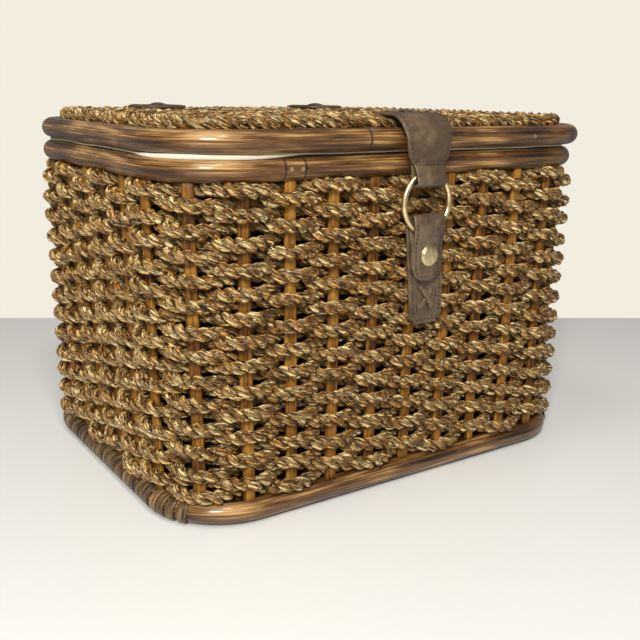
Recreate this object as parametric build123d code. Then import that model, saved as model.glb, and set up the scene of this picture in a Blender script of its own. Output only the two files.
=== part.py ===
from build123d import *
import math
import os

# A lidded basket: twisted grass rope woven over flat rattan stakes between bent pole rims, lined with
# cloth, with leather hinges at the back and a leather, ring and snap closure at the front.
# Millimetres, Z up, front towards -Y, origin on the ground under the middle of the base.

# Poles and the outlines of their centre lines
pole_diameter = 15.0
depth = 268.0
corner = 51.0
base_length = 353.0
rim_length = 359.0
body_rim_height = 235.0
lid_overhang = 3.0
lid_shift = 3.0
rim_gap = 2.0

# Woven work
rope_diameter = 7.8
stake_width = 8.5
stake_thickness = 4.0
weave_clearance = 0.3
front_steps = 10
side_steps = 7
lid_mat_rise = 4.4
stake_grip = 5.0
lid_stake_grip = 4.0
socket_clearance = 0.1

# Cane wound round the base rim
cane_width = 7.0
cane_thickness = 1.4
cane_clearance = 0.1
cane_turns = 19
cane_pitch = 8.2

# Cloth
cloth_thickness = 1.5
cloth_clearance = 0.4
hem_reach = 4.0
lining_lip = 3.0
trim_clearance = 0.1

# Leather
strap_thickness = 2.2
thin_strap_thickness = 1.8
fold_thickness = 1.5
leather_clearance = 0.2
bend_radius = 12.0
hinge_width = 36.0
hinge_offset = 81.0
hinge_top_end = 90.0
hinge_drop = 40.0
hinge_face_clearance = 0.3
hinge_split = 0.4

# Closure, from the lid down to the latch strap
closure_x = -1.0
tab_width_top = 42.5
tab_width_bottom = 34.0
tab_length = 18.0
tab_corner = 8.0
tab_inset = 1.0
tab_axis_height = 253.0
tail_end = 112.0
loop_width = 25.5
loop_thickness = 3.2
loop_below_axis = 1.5
loop_bottom = 220.4
ring_outer_diameter = 44.0
ring_wire = 4.0
ring_height = 209.5
ring_clearance = 0.1
ring_swing_room = 2.4
fob_x = 0.5
fob_width_top = 28.0
fob_width_bottom = 25.0
fob_top = 201.9
fob_below_cap = 17.6
fob_corner = 10.0
fob_thickness = 3.2
cap_x = 1.9
cap_drop = 36.4
cap_diameter = 15.0
cap_thickness = 2.0
post_diameter = 3.0
post_clearance = 0.05
disc_diameter = 14.0
disc_thickness = 1.0
latch_x = 1.7
latch_lean = 4.8
latch_width_top = 33.0
latch_width_bottom = 29.0
latch_above_cap = 20.0
latch_below_cap = 50.0
latch_chamfer = 6.0
latch_lace_rise = 18.4

# Crossed laces and tacks
lace_width = 2.0
lace_thickness = 1.0
lace_leg = 1.8
lace_hole = 2.0
lace_gap = 0.1
lace_half_width = 6.0
lace_half_height = 8.0
tack_head = 3.0
tack_head_thickness = 0.8
tack_shank = 1.4
tack_length = 6.0
tack_hole = 1.5
rim_tack_places = (-105.0, -97.0)
lid_tack_x = 103.0

pole_radius = pole_diameter / 2
rope_radius = rope_diameter / 2
swing = stake_thickness / 2 + weave_clearance + rope_radius
half_weave = swing + rope_radius
bound_radius = pole_radius + cane_clearance + cane_thickness
base_rim_height = bound_radius
base_mat_height = half_weave
lid_rim_height = body_rim_height + pole_diameter + rim_gap
lid_mat_height = lid_rim_height + lid_mat_rise
lid_length = rim_length + 2 * lid_overhang
lid_depth = depth + 2 * lid_overhang
lid_corner = corner + lid_overhang
lid_top = lid_mat_height + half_weave + leather_clearance
ring_radius = (ring_outer_diameter - ring_wire) / 2
ring_top = ring_height + ring_radius
ring_bottom = ring_height - ring_radius
wire_radius = ring_wire / 2
hinge_face = lid_depth / 2 + pole_radius + hinge_face_clearance
hinge_low_end = body_rim_height - hinge_drop
tab_bottom = tab_axis_height - tab_length
loop_top = tab_axis_height - loop_below_axis
latch_face = depth / 2 + half_weave + weave_clearance
latch_front = latch_face + thin_strap_thickness
ring_face = latch_front + 2 * disc_thickness + leather_clearance + fob_thickness / 2
tab_face = ring_face - tab_inset
tab_middle = tab_face + strap_thickness / 2
cap_height = ring_height - cap_drop
fob_bottom = cap_height - fob_below_cap
latch_top = cap_height + latch_above_cap
latch_bottom = cap_height - latch_below_cap


def length_at(height):
    """Length of the wall's outline at a height: the wall leans out a little from base to rim."""
    share = (height - base_rim_height) / (body_rim_height - base_rim_height)
    return base_length + (rim_length - base_length) * share


def outline(length, width, radius, height):
    """A rounded rectangle round the basket at a height."""
    return Pos(0, 0, height) * RectangleRounded(length, width, radius)


def tube_along(path, radius):
    """A round rod along a path."""
    start = Plane(origin=path @ 0, z_dir=path % 0)
    return sweep(start * Circle(radius), path=path)


def rim_pole(length, width, radius, height):
    """A pole bent into a closed rounded rectangle."""
    return tube_along(outline(length, width, radius, height).wire(), pole_radius)


def stations(length, width, radius, height):
    """Where the wall's stakes stand at a height, each with the way out of the basket there."""
    places = []
    for quarter in range(4):
        turn = 90 * quarter
        along, across, steps = (width, length, side_steps) if quarter % 2 else (length, width, front_steps)
        straight = along / 2 - radius
        reach = straight + radius * math.pi / 4
        for step in range(steps):
            travel = reach * (2 * step / steps - 1)
            beyond = max(abs(travel) - straight, 0)
            angle = math.copysign(beyond / radius, travel)
            x = max(min(travel, straight), -straight) + radius * math.sin(angle)
            y = -(across / 2 - radius + radius * math.cos(angle))
            place = Vector(x, y, 0).rotate(Axis.Z, turn) + Vector(0, 0, height)
            outward = Vector(math.sin(angle), -math.cos(angle), 0).rotate(Axis.Z, turn)
            places.append((place, outward))
    return places


def walled(inset, low, high):
    """The block inside the wall's outline moved in by an inset, between two heights."""
    ends = []
    for height in (low, high):
        ends.append(outline(length_at(height) - 2 * inset, depth - 2 * inset, corner - inset, height))
    return loft(ends)


def wall_weave():
    """The woven wall as a shell one rope thick outside the stakes, out to the crests of the ropes."""
    low = base_rim_height + bound_radius + leather_clearance
    high = body_rim_height - pole_radius - leather_clearance
    return walled(-half_weave, low, high) - walled(rope_diameter - half_weave, low - 1, high + 1)


def wall_stake(foot, head, outward, room=0.0):
    """One flat stake, or with room the socket that takes it."""
    way = head - foot
    start = Plane(origin=foot, z_dir=way, x_dir=Vector(-outward.Y, outward.X, 0))
    section = start * Rectangle(stake_width + 2 * room, stake_thickness + 2 * room)
    return extrude(section, amount=way.length)


def wall_stakes(room=0.0):
    """Stakes from the base rim to the body rim. Those over the cane binding stand on it."""
    low = base_rim_height + pole_radius - stake_grip
    on_cane = base_rim_height + bound_radius + leather_clearance / 2
    high = body_rim_height - pole_radius + stake_grip
    lows = stations(length_at(low), depth, corner, low)
    highs = stations(length_at(high), depth, corner, high)
    stakes = []
    for (foot, outward), (head, _) in zip(lows, highs):
        bound = abs(foot.X) > base_length / 2 - corner and abs(foot.Y) < depth / 2 - corner
        if bound:
            foot = foot + (head - foot) * ((on_cane - low) / (high - low))
        way = (head - foot).normalized()
        start = foot if bound else foot - way * room
        stakes.append(wall_stake(start, head + way * room, outward, room))
    return stakes


def mat_stake_places(length, radius):
    """Places along X of the stakes in the lid or the base."""
    step = 2 * (length / 2 - radius + radius * math.pi / 4) / front_steps
    return [step * i for i in range(1 - front_steps // 2, front_steps // 2)]


def mat_stakes(length, width, radius, height, end_inset, room=0.0):
    """Flat stakes from front to back, their ends in the rim pole."""
    stakes = []
    for x in mat_stake_places(length, radius):
        beyond = max(abs(x) - (length / 2 - radius), 0)
        reach = width / 2 - radius + math.sqrt(radius ** 2 - beyond ** 2) - end_inset + room
        stake = Box(stake_width + 2 * room, 2 * reach, stake_thickness + 2 * room)
        stakes.append(Pos(x, 0, height) * stake)
    return stakes


def mat_weave(length, width, radius, height, inset, side):
    """A woven mat as a panel one rope thick over or under its stakes, ending short of the rim."""
    middle = height + side * (half_weave - rope_radius)
    face = outline(length - 2 * inset, width - 2 * inset, radius - inset, middle - rope_radius)
    return extrude(face, amount=rope_diameter)


def cane_binding(side):
    """Flat cane wound round the straight part of the base rim on a short side."""
    path = Helix(pitch=cane_pitch, height=cane_pitch * cane_turns, radius=bound_radius - cane_thickness / 2)
    start = Plane(origin=path @ 0, z_dir=path % 0, x_dir=(0, 0, 1))
    strip = sweep(start * Rectangle(cane_width, cane_thickness), path=path, is_frenet=True)
    return Pos(side * base_length / 2, -cane_pitch * cane_turns / 2, base_rim_height) * Rot(X=-90) * strip


def basket_lining():
    """A cloth box inside the weave, with a lip out to the body rim."""
    outer = half_weave + cloth_clearance
    inner = outer + cloth_thickness
    floor = base_mat_height + half_weave + cloth_clearance
    top = body_rim_height + lining_lip / 2

    lip_out = pole_radius + trim_clearance
    cloth = walled(outer, floor, top) + walled(lip_out, top - lining_lip, top)
    return cloth - walled(inner, floor + cloth_thickness, top + 1)


def lid_lining():
    """Cloth under the lid. Its hem comes out between the two rims."""
    low = body_rim_height + pole_radius + weave_clearance
    face = outline(rim_length + 2 * hem_reach, depth + 2 * hem_reach, corner + hem_reach, low)
    return extrude(face, amount=cloth_thickness)


def strap_over_rim(side, x, width, face, low, reach):
    """A strap lying on the lid, bent over its rim and hanging down to a height."""
    middle = side * (face + strap_thickness / 2)
    flat = lid_top + strap_thickness / 2
    bend_start = Vector(x, middle, lid_top - bend_radius)
    bend_end = Vector(x, side * (face - bend_radius), flat)
    path = Wire([
        Edge.make_line(Vector(x, middle, low), bend_start),
        Edge.make_tangent_arc(bend_start, Vector(0, 0, 1), bend_end),
        Edge.make_line(bend_end, Vector(x, side * reach, flat)),
    ])
    start = Plane(origin=path @ 0, z_dir=path % 0, x_dir=(1, 0, 0))
    return sweep(start * Rectangle(width, strap_thickness), path=path)


def lace_corners():
    """The four holes of a crossed lace, as two pairs."""
    return (
        ((-lace_half_width, -lace_half_height), (lace_half_width, lace_half_height)),
        ((-lace_half_width, lace_half_height), (lace_half_width, -lace_half_height)),
    )


def crossed_lace(plane, thickness):
    """Two crossed thongs on a strap, each with its ends down through the strap."""
    thongs = []
    for layer, ends in enumerate(lace_corners()):
        low = lace_gap + layer * (lace_thickness + lace_gap)
        (x0, y0), (x1, y1) = ends
        angle = math.degrees(math.atan2(y1 - y0, x1 - x0))
        length = math.hypot(x1 - x0, y1 - y0) + lace_width
        thong = Pos(0, 0, low + lace_thickness / 2) * Rot(Z=angle) * Box(length, lace_width, lace_thickness)
        for x, y in ends:
            leg = Cylinder(lace_leg / 2, low + thickness + lace_thickness / 2)
            thong += Pos(x, y, (low - thickness + lace_thickness / 2) / 2) * leg
        thongs.append(plane.location * thong)
    return thongs


def lace_holes(plane, thickness):
    """The holes that a crossed lace needs in its strap."""
    holes = []
    for ends in lace_corners():
        for x, y in ends:
            holes.append(plane.location * Pos(x, y, -thickness / 2) * Cylinder(lace_hole / 2, 3 * thickness))
    return holes


def profile(points, x, width, rounding=None):
    """A solid with a side view given as distances out from the middle plane and heights, at the front."""
    face = Plane.YZ * make_face(Polyline(*[(-out, height) for out, height in points], close=True))
    solid = Pos(x - width / 2, 0, 0) * extrude(face, amount=width)
    if rounding:
        solid = fillet(solid.edges().filter_by(Axis.X), rounding)
    return solid


def front_cut(x, width_top, width_bottom, top, bottom, radius):
    """The front view of a tapered strap end with rounded lower corners, as a long block along Y."""
    corners = [
        (-width_top / 2, top),
        (-width_bottom / 2, bottom),
        (width_bottom / 2, bottom),
        (width_top / 2, top),
    ]
    face = Plane.XZ * make_face(Polyline(*corners, close=True))
    block = Pos(x, 0, 0) * extrude(face, amount=2 * ring_face, both=True)
    lower = block.edges().filter_by(Axis.Y).sort_by(Axis.Z)[:2]
    return fillet(lower, radius)


def strap_tab():
    """The wide end of the front strap, rounded at the top about the line it swings on."""
    plate = profile([
        (tab_face, tab_bottom),
        (tab_face + strap_thickness, tab_bottom),
        (tab_face + strap_thickness, tab_axis_height),
        (tab_face, tab_axis_height),
    ], closure_x, tab_width_top)
    bead = Cylinder(strap_thickness / 2, tab_width_top)
    plate += Pos(closure_x, -tab_middle, tab_axis_height) * Rot(Y=90) * bead
    trim = front_cut(closure_x, tab_width_top, tab_width_bottom,
                     tab_axis_height + strap_thickness, tab_bottom, tab_corner)
    return plate & trim


def strap_loop():
    """A narrow strap folded round the ring's upper bar, with room for the ring to swing out."""
    back = tab_face - leather_clearance
    near = ring_face - wire_radius - ring_clearance
    far = ring_face + wire_radius + ring_clearance
    room_top = ring_top + wire_radius + ring_clearance
    room_low = loop_bottom + fold_thickness
    bulge = ring_top - wire_radius * 2
    leather = profile([
        (back - loop_thickness, loop_top),
        (back, loop_top),
        (back, tab_bottom),
        (far + fold_thickness, room_top + fold_thickness / 2),
        (far + ring_swing_room + fold_thickness, bulge),
        (far + ring_swing_room + fold_thickness, loop_bottom),
        (near - fold_thickness, loop_bottom),
        (near - fold_thickness, room_top + fold_thickness),
        (back - loop_thickness, tab_bottom),
    ], closure_x, loop_width, fold_thickness * 0.8)
    room = profile([
        (near, room_top),
        (far, room_top),
        (far + ring_swing_room, bulge),
        (far + ring_swing_room, room_low),
        (near, room_low),
    ], closure_x, 2 * loop_width)
    return leather - room


def snap_fob():
    """Leather folded over the ring's lower bar, its two layers sewn together below."""
    near = ring_face - wire_radius - ring_clearance
    far = ring_face + wire_radius + ring_clearance
    half = fob_thickness / 2
    fold_low = ring_bottom - fold_thickness
    leather = profile([
        (near - fold_thickness, fob_top),
        (far + fold_thickness, fob_top),
        (far + fold_thickness, fold_low),
        (ring_face + half, fold_low - 3 * fold_thickness),
        (ring_face + half, fob_bottom),
        (ring_face - half, fob_bottom),
        (ring_face - half, fold_low - 3 * fold_thickness),
        (near - fold_thickness, fold_low),
    ], fob_x, fob_width_top, fold_thickness * 0.8)
    room = profile([
        (near, fob_top - fold_thickness),
        (far, fob_top - fold_thickness),
        (far, ring_bottom - wire_radius - ring_clearance),
        (near, ring_bottom - wire_radius - ring_clearance),
    ], fob_x, 2 * fob_width_top)
    trim = front_cut(fob_x, fob_width_top, fob_width_bottom, fob_top + 1, fob_bottom, fob_corner)
    return (leather - room) & trim - post_hole(cap_x, cap_height)


def post_hole(x, height):
    """A hole from front to back for a post."""
    hole = Cylinder(post_diameter / 2 + post_clearance, 6 * fob_thickness)
    return Pos(x, -ring_face, height) * Rot(X=90) * hole


def front_disc(x, height, near, thickness, diameter):
    """A flat round plate facing the front, its back a distance out from the middle plane."""
    return Pos(x, -near - thickness / 2, height) * Rot(X=90) * Cylinder(diameter / 2, thickness)


def snap_cap():
    """Domed cap with its post through the fob and the magnet."""
    front = ring_face + fob_thickness / 2
    dome = front_disc(cap_x, cap_height, front, cap_thickness, cap_diameter)
    dome = fillet(dome.edges().sort_by(Axis.Y)[:1], cap_thickness * 0.8)
    length = fob_thickness + disc_thickness
    return dome + front_disc(cap_x, cap_height, front - length, length, post_diameter)


def snap_magnet():
    """Flat magnet on the back of the fob, round the post."""
    near = ring_face - fob_thickness / 2 - disc_thickness
    return front_disc(cap_x, cap_height, near, disc_thickness, disc_diameter) - post_hole(cap_x, cap_height)


def latch_keeper():
    """Flat keeper on the latch strap, with its rivet through the strap."""
    plate = front_disc(cap_x, cap_height, latch_front, disc_thickness, disc_diameter)
    return plate + front_disc(cap_x, cap_height, latch_face, thin_strap_thickness, post_diameter)


def latch_lace_plane():
    """Where the latch strap's lace is crossed."""
    low_x = latch_x + latch_lean
    x = low_x - latch_lean * latch_lace_rise / (latch_top - latch_bottom)
    return Plane(origin=(x, -latch_front, latch_bottom + latch_lace_rise), x_dir=(1, 0, 0), z_dir=(0, -1, 0))


def latch_strap():
    """The lower strap on the front wall, leaning a little to the right, its lower corners cut off."""
    low_x = latch_x + latch_lean
    corners = [
        (latch_x - latch_width_top / 2, latch_top),
        (low_x - latch_width_bottom / 2, latch_bottom),
        (low_x + latch_width_bottom / 2, latch_bottom),
        (latch_x + latch_width_top / 2, latch_top),
    ]
    face = Plane.XZ * make_face(Polyline(*corners, close=True))
    strap = extrude(face, amount=thin_strap_thickness / 2, both=True)
    strap = Pos(0, -latch_face - thin_strap_thickness / 2, 0) * strap
    strap = chamfer(strap.edges().filter_by(Axis.Y).sort_by(Axis.Z)[:2], latch_chamfer)
    for hole in lace_holes(latch_lace_plane(), thin_strap_thickness):
        strap -= hole
    return strap - post_hole(cap_x, cap_height)


def closure_ring():
    """Round wire ring."""
    return Pos(closure_x, -ring_face, ring_height) * Rot(X=90) * Torus(ring_radius, wire_radius)


def tack(x, out, height, room=0.0):
    """A small nail driven in from the front, or with room its hole."""
    shank_radius = (tack_hole if room else tack_shank) / 2
    shank = Cylinder(shank_radius, tack_length + room)
    nail = Pos(x, -out + (tack_length - room) / 2, height) * Rot(X=90) * shank
    if not room:
        head = Cylinder(tack_head / 2, tack_head_thickness)
        nail += Pos(x, -out - tack_head_thickness / 2, height) * Rot(X=90) * head
    return nail


def hinge_low_lace_plane(x):
    """Where a hinge strap is laced to the back wall."""
    middle = (x, hinge_face + strap_thickness, hinge_low_end + 2 * lace_half_height)
    return Plane(origin=middle, x_dir=(-1, 0, 0), z_dir=(0, 1, 0))


def top_lace_plane(x, y):
    """Where a strap is laced to the top of the lid."""
    return Plane(origin=(x, y, lid_top + strap_thickness), x_dir=(1, 0, 0), z_dir=(0, 0, 1))


def shifted(solids):
    """Pieces of the lid moved to where it sits, a little to the right of the basket."""
    return [Pos(lid_shift, 0, 0) * solid for solid in solids]


def less(solid, cuts):
    """A solid with a list of others cut out of it."""
    for cut in cuts:
        solid -= cut
    return solid


def save(name, solids):
    """One file for one kind of piece."""
    pieces = solids if isinstance(solids, list) else [solids]
    found = [one for piece in pieces for one in piece.solids()]
    shape = found[0] if len(found) == 1 else Compound(children=found)
    export_step(shape, f"parts/{name}.step")


os.makedirs("parts", exist_ok=True)

# Body
base_stake_inset = stake_thickness / 2 + 6 * leather_clearance
base_outline = (base_length, depth, corner)
base_pole = rim_pole(*base_outline, base_rim_height)
base_sockets = mat_stakes(*base_outline, base_mat_height, base_stake_inset, socket_clearance)
save("base_rim", less(base_pole, wall_stakes(socket_clearance) + base_sockets))
save("base_binding_left", cane_binding(-1))
save("base_binding_right", cane_binding(1))
save("base_stakes", mat_stakes(*base_outline, base_mat_height, base_stake_inset))
save("base_weave", mat_weave(*base_outline, base_mat_height, half_weave + cloth_clearance, -1))
save("wall_stakes", wall_stakes())
save("wall_weave", wall_weave())
rim_tack_out = depth / 2 + pole_radius + trim_clearance
body_pole = less(rim_pole(rim_length, depth, corner, body_rim_height), wall_stakes(socket_clearance))
body_tack_holes = [tack(x, rim_tack_out, body_rim_height, socket_clearance) for x in rim_tack_places]
save("body_rim", less(body_pole, body_tack_holes))
save("rim_tacks", [tack(x, rim_tack_out, body_rim_height) for x in rim_tack_places])
save("basket_lining", basket_lining())
save("latch_strap", latch_strap())
save("latch_lace", crossed_lace(latch_lace_plane(), thin_strap_thickness))
save("latch_keeper", latch_keeper())

# Lid
lid_outline = (lid_length, lid_depth, lid_corner)
lid_pole_reach = math.sqrt(pole_radius ** 2 - lid_mat_rise ** 2)
lid_stake_inset = lid_pole_reach - lid_stake_grip
lid_tack_out = lid_depth / 2 + pole_radius + trim_clearance
lid_pole = rim_pole(*lid_outline, lid_rim_height)
lid_sockets = mat_stakes(*lid_outline, lid_mat_height, lid_stake_inset, socket_clearance)
lid_cuts = lid_sockets + [tack(lid_tack_x, lid_tack_out, lid_rim_height, socket_clearance)]
save("lid_rim", shifted([less(lid_pole, lid_cuts)]))
save("lid_tack", shifted([tack(lid_tack_x, lid_tack_out, lid_rim_height)]))
save("lid_stakes", shifted(mat_stakes(*lid_outline, lid_mat_height, lid_stake_inset)))
border_inset = pole_radius + leather_clearance + rope_radius
border_height = lid_mat_height + stake_thickness / 2 + leather_clearance + rope_radius
border_path = outline(lid_length - 2 * border_inset, lid_depth - 2 * border_inset,
                      lid_corner - border_inset, border_height).wire()
save("lid_border_rope", shifted([tube_along(border_path, rope_radius)]))
lid_weave_inset = border_inset + rope_radius + weave_clearance
save("lid_weave", shifted([mat_weave(*lid_outline, lid_mat_height, lid_weave_inset, 1)]))
save("lid_lining", lid_lining())

# Hinges, each a strap in two halves that meet where the leather bends
hinge_axis_height = body_rim_height + pole_radius + rim_gap / 2
hinge_lace_y = (hinge_face - bend_radius + hinge_top_end) / 2
for hinge_name, hinge_x in (("left", -hinge_offset), ("right", hinge_offset)):
    low_plane = hinge_low_lace_plane(hinge_x)
    low_top = hinge_axis_height - hinge_split / 2
    low_half = Box(hinge_width, strap_thickness, low_top - hinge_low_end)
    low_half = Pos(hinge_x, hinge_face + strap_thickness / 2, (low_top + hinge_low_end) / 2) * low_half
    save(f"hinge_lower_{hinge_name}", less(low_half, lace_holes(low_plane, strap_thickness)))
    save(f"hinge_lower_lace_{hinge_name}", crossed_lace(low_plane, strap_thickness))
    top_plane = top_lace_plane(hinge_x, hinge_lace_y)
    top_half = strap_over_rim(1, hinge_x, hinge_width, hinge_face,
                              hinge_axis_height + hinge_split / 2, hinge_top_end)
    save(f"hinge_upper_{hinge_name}", less(top_half, lace_holes(top_plane, strap_thickness)))
    save(f"hinge_upper_lace_{hinge_name}", crossed_lace(top_plane, strap_thickness))

# Closure
tail_low = tab_axis_height + strap_thickness / 2 + weave_clearance
tail_plane = top_lace_plane(closure_x, -(tab_face - bend_radius + tail_end) / 2)
tail = strap_over_rim(-1, closure_x, tab_width_top, tab_face, tail_low, tail_end)
save("strap_tail", less(tail, lace_holes(tail_plane, strap_thickness)))
save("strap_tail_lace", crossed_lace(tail_plane, strap_thickness))
save("strap_tab", strap_tab())
save("strap_loop", strap_loop())
save("closure_ring", closure_ring())
save("snap_fob", snap_fob())
save("snap_cap", snap_cap())
save("snap_magnet", snap_magnet())
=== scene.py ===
import math

import bpy
import numpy as np
from bpy.props import FloatProperty, FloatVectorProperty, IntProperty, PointerProperty
from mathutils import Matrix, Vector


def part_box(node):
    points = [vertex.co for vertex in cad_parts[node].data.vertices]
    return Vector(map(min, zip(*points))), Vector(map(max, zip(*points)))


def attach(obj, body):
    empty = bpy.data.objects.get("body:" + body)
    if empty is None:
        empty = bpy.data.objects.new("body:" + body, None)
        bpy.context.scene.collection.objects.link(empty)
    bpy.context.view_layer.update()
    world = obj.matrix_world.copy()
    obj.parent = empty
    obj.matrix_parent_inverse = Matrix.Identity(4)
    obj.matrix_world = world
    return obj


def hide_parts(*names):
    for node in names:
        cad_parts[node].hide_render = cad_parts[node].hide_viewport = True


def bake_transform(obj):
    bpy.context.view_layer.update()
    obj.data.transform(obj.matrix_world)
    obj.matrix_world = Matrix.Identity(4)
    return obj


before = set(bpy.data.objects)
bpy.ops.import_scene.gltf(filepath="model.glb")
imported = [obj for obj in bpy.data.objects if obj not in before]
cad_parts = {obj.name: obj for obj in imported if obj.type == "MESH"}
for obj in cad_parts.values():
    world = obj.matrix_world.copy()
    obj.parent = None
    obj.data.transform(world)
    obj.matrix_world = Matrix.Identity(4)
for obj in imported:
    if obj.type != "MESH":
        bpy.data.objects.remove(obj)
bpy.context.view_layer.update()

bl_info = {
    "name": "Lidded Basket",
    "version": (1, 0, 0),
    "blender": (4, 5, 0),
    "location": "View3D > Sidebar > Basket",
    "description": "Builds the looks of a woven lidded basket over its CAD frame",
    "category": "Object",
}

# Places taken from the CAD frame, in metres

def middle(node):
    """The middle of a node's box."""
    return tuple((low + high) / 2 for low, high in zip(*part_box(node)))


def pole_line(node):
    """The length and the width of a bent pole's middle line."""
    low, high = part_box(node)
    return high[0] - low[0] - 2 * POLE, high[1] - low[1] - 2 * POLE


POLE = (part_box("body_rim")[1][2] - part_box("body_rim")[0][2]) / 2
RIM_SIZE, LID_SIZE, BASE_SIZE = (pole_line(node) for node in ("body_rim", "lid_rim", "base_rim"))
RIM_Z, LID_Z, BASE_Z = (middle(node)[2] for node in ("body_rim", "lid_rim", "base_rim"))
LID_X = middle("lid_rim")[0]
CENTRE_X, RING_Y, RING_Z = middle("closure_ring")

# The stakes and the ropes between them. A corner is the radius of a pole's middle line, and the shares
# are of a rope's thickness
CORNER = 0.051
LID_CORNER = CORNER + (LID_SIZE[1] - RIM_SIZE[1]) / 2
FRONT_STEPS = 10
SIDE_STEPS = 7
STAKES = 2 * (FRONT_STEPS + SIDE_STEPS)
STAKE_WIDTH = 0.0085
STAKE_THICKNESS = 0.004
LID_MAT_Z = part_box("lid_stakes")[0][2] + STAKE_THICKNESS / 2
BASE_MAT_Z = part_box("base_stakes")[0][2] + STAKE_THICKNESS / 2
WALL_SWING = 0.0062
ROPE_REACH = 0.0039
STRAND_SHARE = 0.285
TWIST_SHARE = 0.225

# Where the dark marks across the front of the poles are
LID_MARKS = (-0.045,)
BODY_MARKS = (-0.1085, -0.0935)

# The cane round the base: its section in half widths and thicknesses, and its length in one turn
CANE_SECTION = ((-1, -0.2), (-0.96, 0.3), (-0.6, 0.62), (0, 0.75), (0.6, 0.62), (0.96, 0.3), (1, -0.2),
                (0.6, -0.5), (-0.6, -0.5))
CANE_THICKNESS = 0.0013
CANE_TURN = 0.055
CANE_TURN_STEPS = 22

# Leather: a single layer, the dent at a seam, thongs with their slots, and a strap's turn over the rim
LEATHER = 0.0015
GROOVE_WIDTH = 0.0007
GROOVE_DEPTH = 0.00028
THONG_WIDTH = 0.0044
THONG_THICKNESS = 0.0018
SLOT_WIDTH = 0.0042
BEND_REACH = 0.013
BEND_CUT = 0.0045
BEND_ROUNDING = 0.005

# The camera, fitted to the photo's outlines. Its turns are in radians and its focal length in pixels
CAMERA_PLACE = (-0.391455, -0.596631, 0.281799)
YAW, PITCH, ROLL = 0.597, 0.259, 0.014
FOCAL_PIXELS = 861.85
PHOTO_PIXELS = 640
SENSOR = 36

# The two ends of the table's far edge in the photo
FAR_LEFT = (-0.1027, 0.4808, 0)
FAR_RIGHT = (0.5384, 0.0949, 0)

ACROSS, BACK, UP = np.eye(3)


# Node helpers

class Link:
    """A node's output that can be used in arithmetic. Each step adds a Math node."""

    def __init__(self, graph, socket):
        self.graph = graph
        self.socket = socket

    def __add__(self, other):
        return self.graph.math("ADD", self, other)

    def __radd__(self, other):
        return self.graph.math("ADD", other, self)

    def __sub__(self, other):
        return self.graph.math("SUBTRACT", self, other)

    def __rsub__(self, other):
        return self.graph.math("SUBTRACT", other, self)

    def __mul__(self, other):
        return self.graph.math("MULTIPLY", self, other)

    def __rmul__(self, other):
        return self.graph.math("MULTIPLY", other, self)

    def __truediv__(self, other):
        return self.graph.math("DIVIDE", self, other)


class Graph:
    """A node tree under construction, of a material or of geometry."""

    def __init__(self, tree):
        self.tree = tree

    def node(self, kind, settings=None, inputs=None, out=0):
        """Adds a node of a kind. Settings come first, then values or links for its sockets."""
        node = self.tree.nodes.new(kind)
        for key, value in (settings or {}).items():
            if key == "stops":
                while len(node.color_ramp.elements) < len(value):
                    node.color_ramp.elements.new(1.0)
                for element, (place, colour) in zip(node.color_ramp.elements, value):
                    element.position = place
                    element.color = (*colour, 1.0)
            else:
                setattr(node, key, value)
        for key, value in (inputs or {}).items():
            socket = node.inputs[key]
            if isinstance(value, Link):
                self.tree.links.new(value.socket, socket)
            else:
                socket.default_value = value
        return Link(self, node.outputs[out])

    def math(self, operation, first, second=0.0):
        return self.node("ShaderNodeMath", {"operation": operation}, {0: first, 1: second})

    def vector(self, operation, first, second):
        return self.node("ShaderNodeVectorMath", {"operation": operation}, {0: first, 1: second})

    def scaled(self, vector, factor):
        return self.node("ShaderNodeVectorMath", {"operation": "SCALE"}, {0: vector, "Scale": factor})

    def combined(self, x, y, z):
        return self.node("ShaderNodeCombineXYZ", None, {0: x, 1: y, 2: z})

    def noise(self, vector, detail, rough):
        inputs = {"Vector": vector, "Scale": 1.0, "Detail": detail, "Roughness": rough}
        return self.node("ShaderNodeTexNoise", None, inputs)

    def band(self, value, low, high):
        """0 below low, 1 above high and a smooth step between them."""
        settings = {"interpolation_type": "SMOOTHSTEP"}
        return self.node("ShaderNodeMapRange", settings, {0: value, 1: low, 2: high, 3: 0.0, 4: 1.0})

    def mixed(self, factor, first, second):
        """A mix of two colours."""
        first = first if isinstance(first, Link) else (*first, 1.0)
        second = second if isinstance(second, Link) else (*second, 1.0)
        return self.node("ShaderNodeMix", {"data_type": "RGBA"}, {0: factor, 6: first, 7: second}, out=2)

    def ramp(self, value, *stops):
        """A colour that follows a value, through stops given as (value, colour)."""
        return self.node("ShaderNodeValToRGB", {"stops": stops}, {0: value})

    def attribute(self, name, out="Fac"):
        return self.node("ShaderNodeAttribute", {"attribute_name": name}, out=out)

    def place(self):
        """The point's place on the object at rest."""
        return self.node("ShaderNodeTexCoord", out="Object")

    def on_tube(self):
        """How far along a tube the point is, and where it is round the tube, as two numbers."""
        turn = self.attribute("around") * (2 * math.pi)
        return self.attribute("along"), self.math("COSINE", turn), self.math("SINE", turn)


# Materials. A factor on a place counts a texture's cells in a metre, or on a tube's round of radius 1

def surface(graph, colour, rough, metal=0.0, coat=0.0, gloss=0.5, height=None, depth=0.0004):
    """Finishes a material: its main shader, with a bump from a height where there is one."""
    inputs = {"Base Color": colour, "Roughness": rough, "Metallic": metal, "Specular IOR Level": gloss,
              "Coat Weight": coat, "Coat Roughness": 0.12}
    if height is not None:
        bump = {"Height": height, "Distance": depth, "Strength": 1.0}
        inputs["Normal"] = graph.node("ShaderNodeBump", None, bump)
    shader = graph.node("ShaderNodeBsdfPrincipled", None, inputs)
    output = graph.tree.nodes.new("ShaderNodeOutputMaterial")
    graph.tree.links.new(shader.socket, output.inputs["Surface"])
    return graph.material


def fresh(name):
    """A new material's graph."""
    material = bpy.data.materials.new("look_" + name)
    material.use_nodes = True
    material.node_tree.nodes.clear()
    graph = Graph(material.node_tree)
    graph.material = material
    return graph


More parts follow.
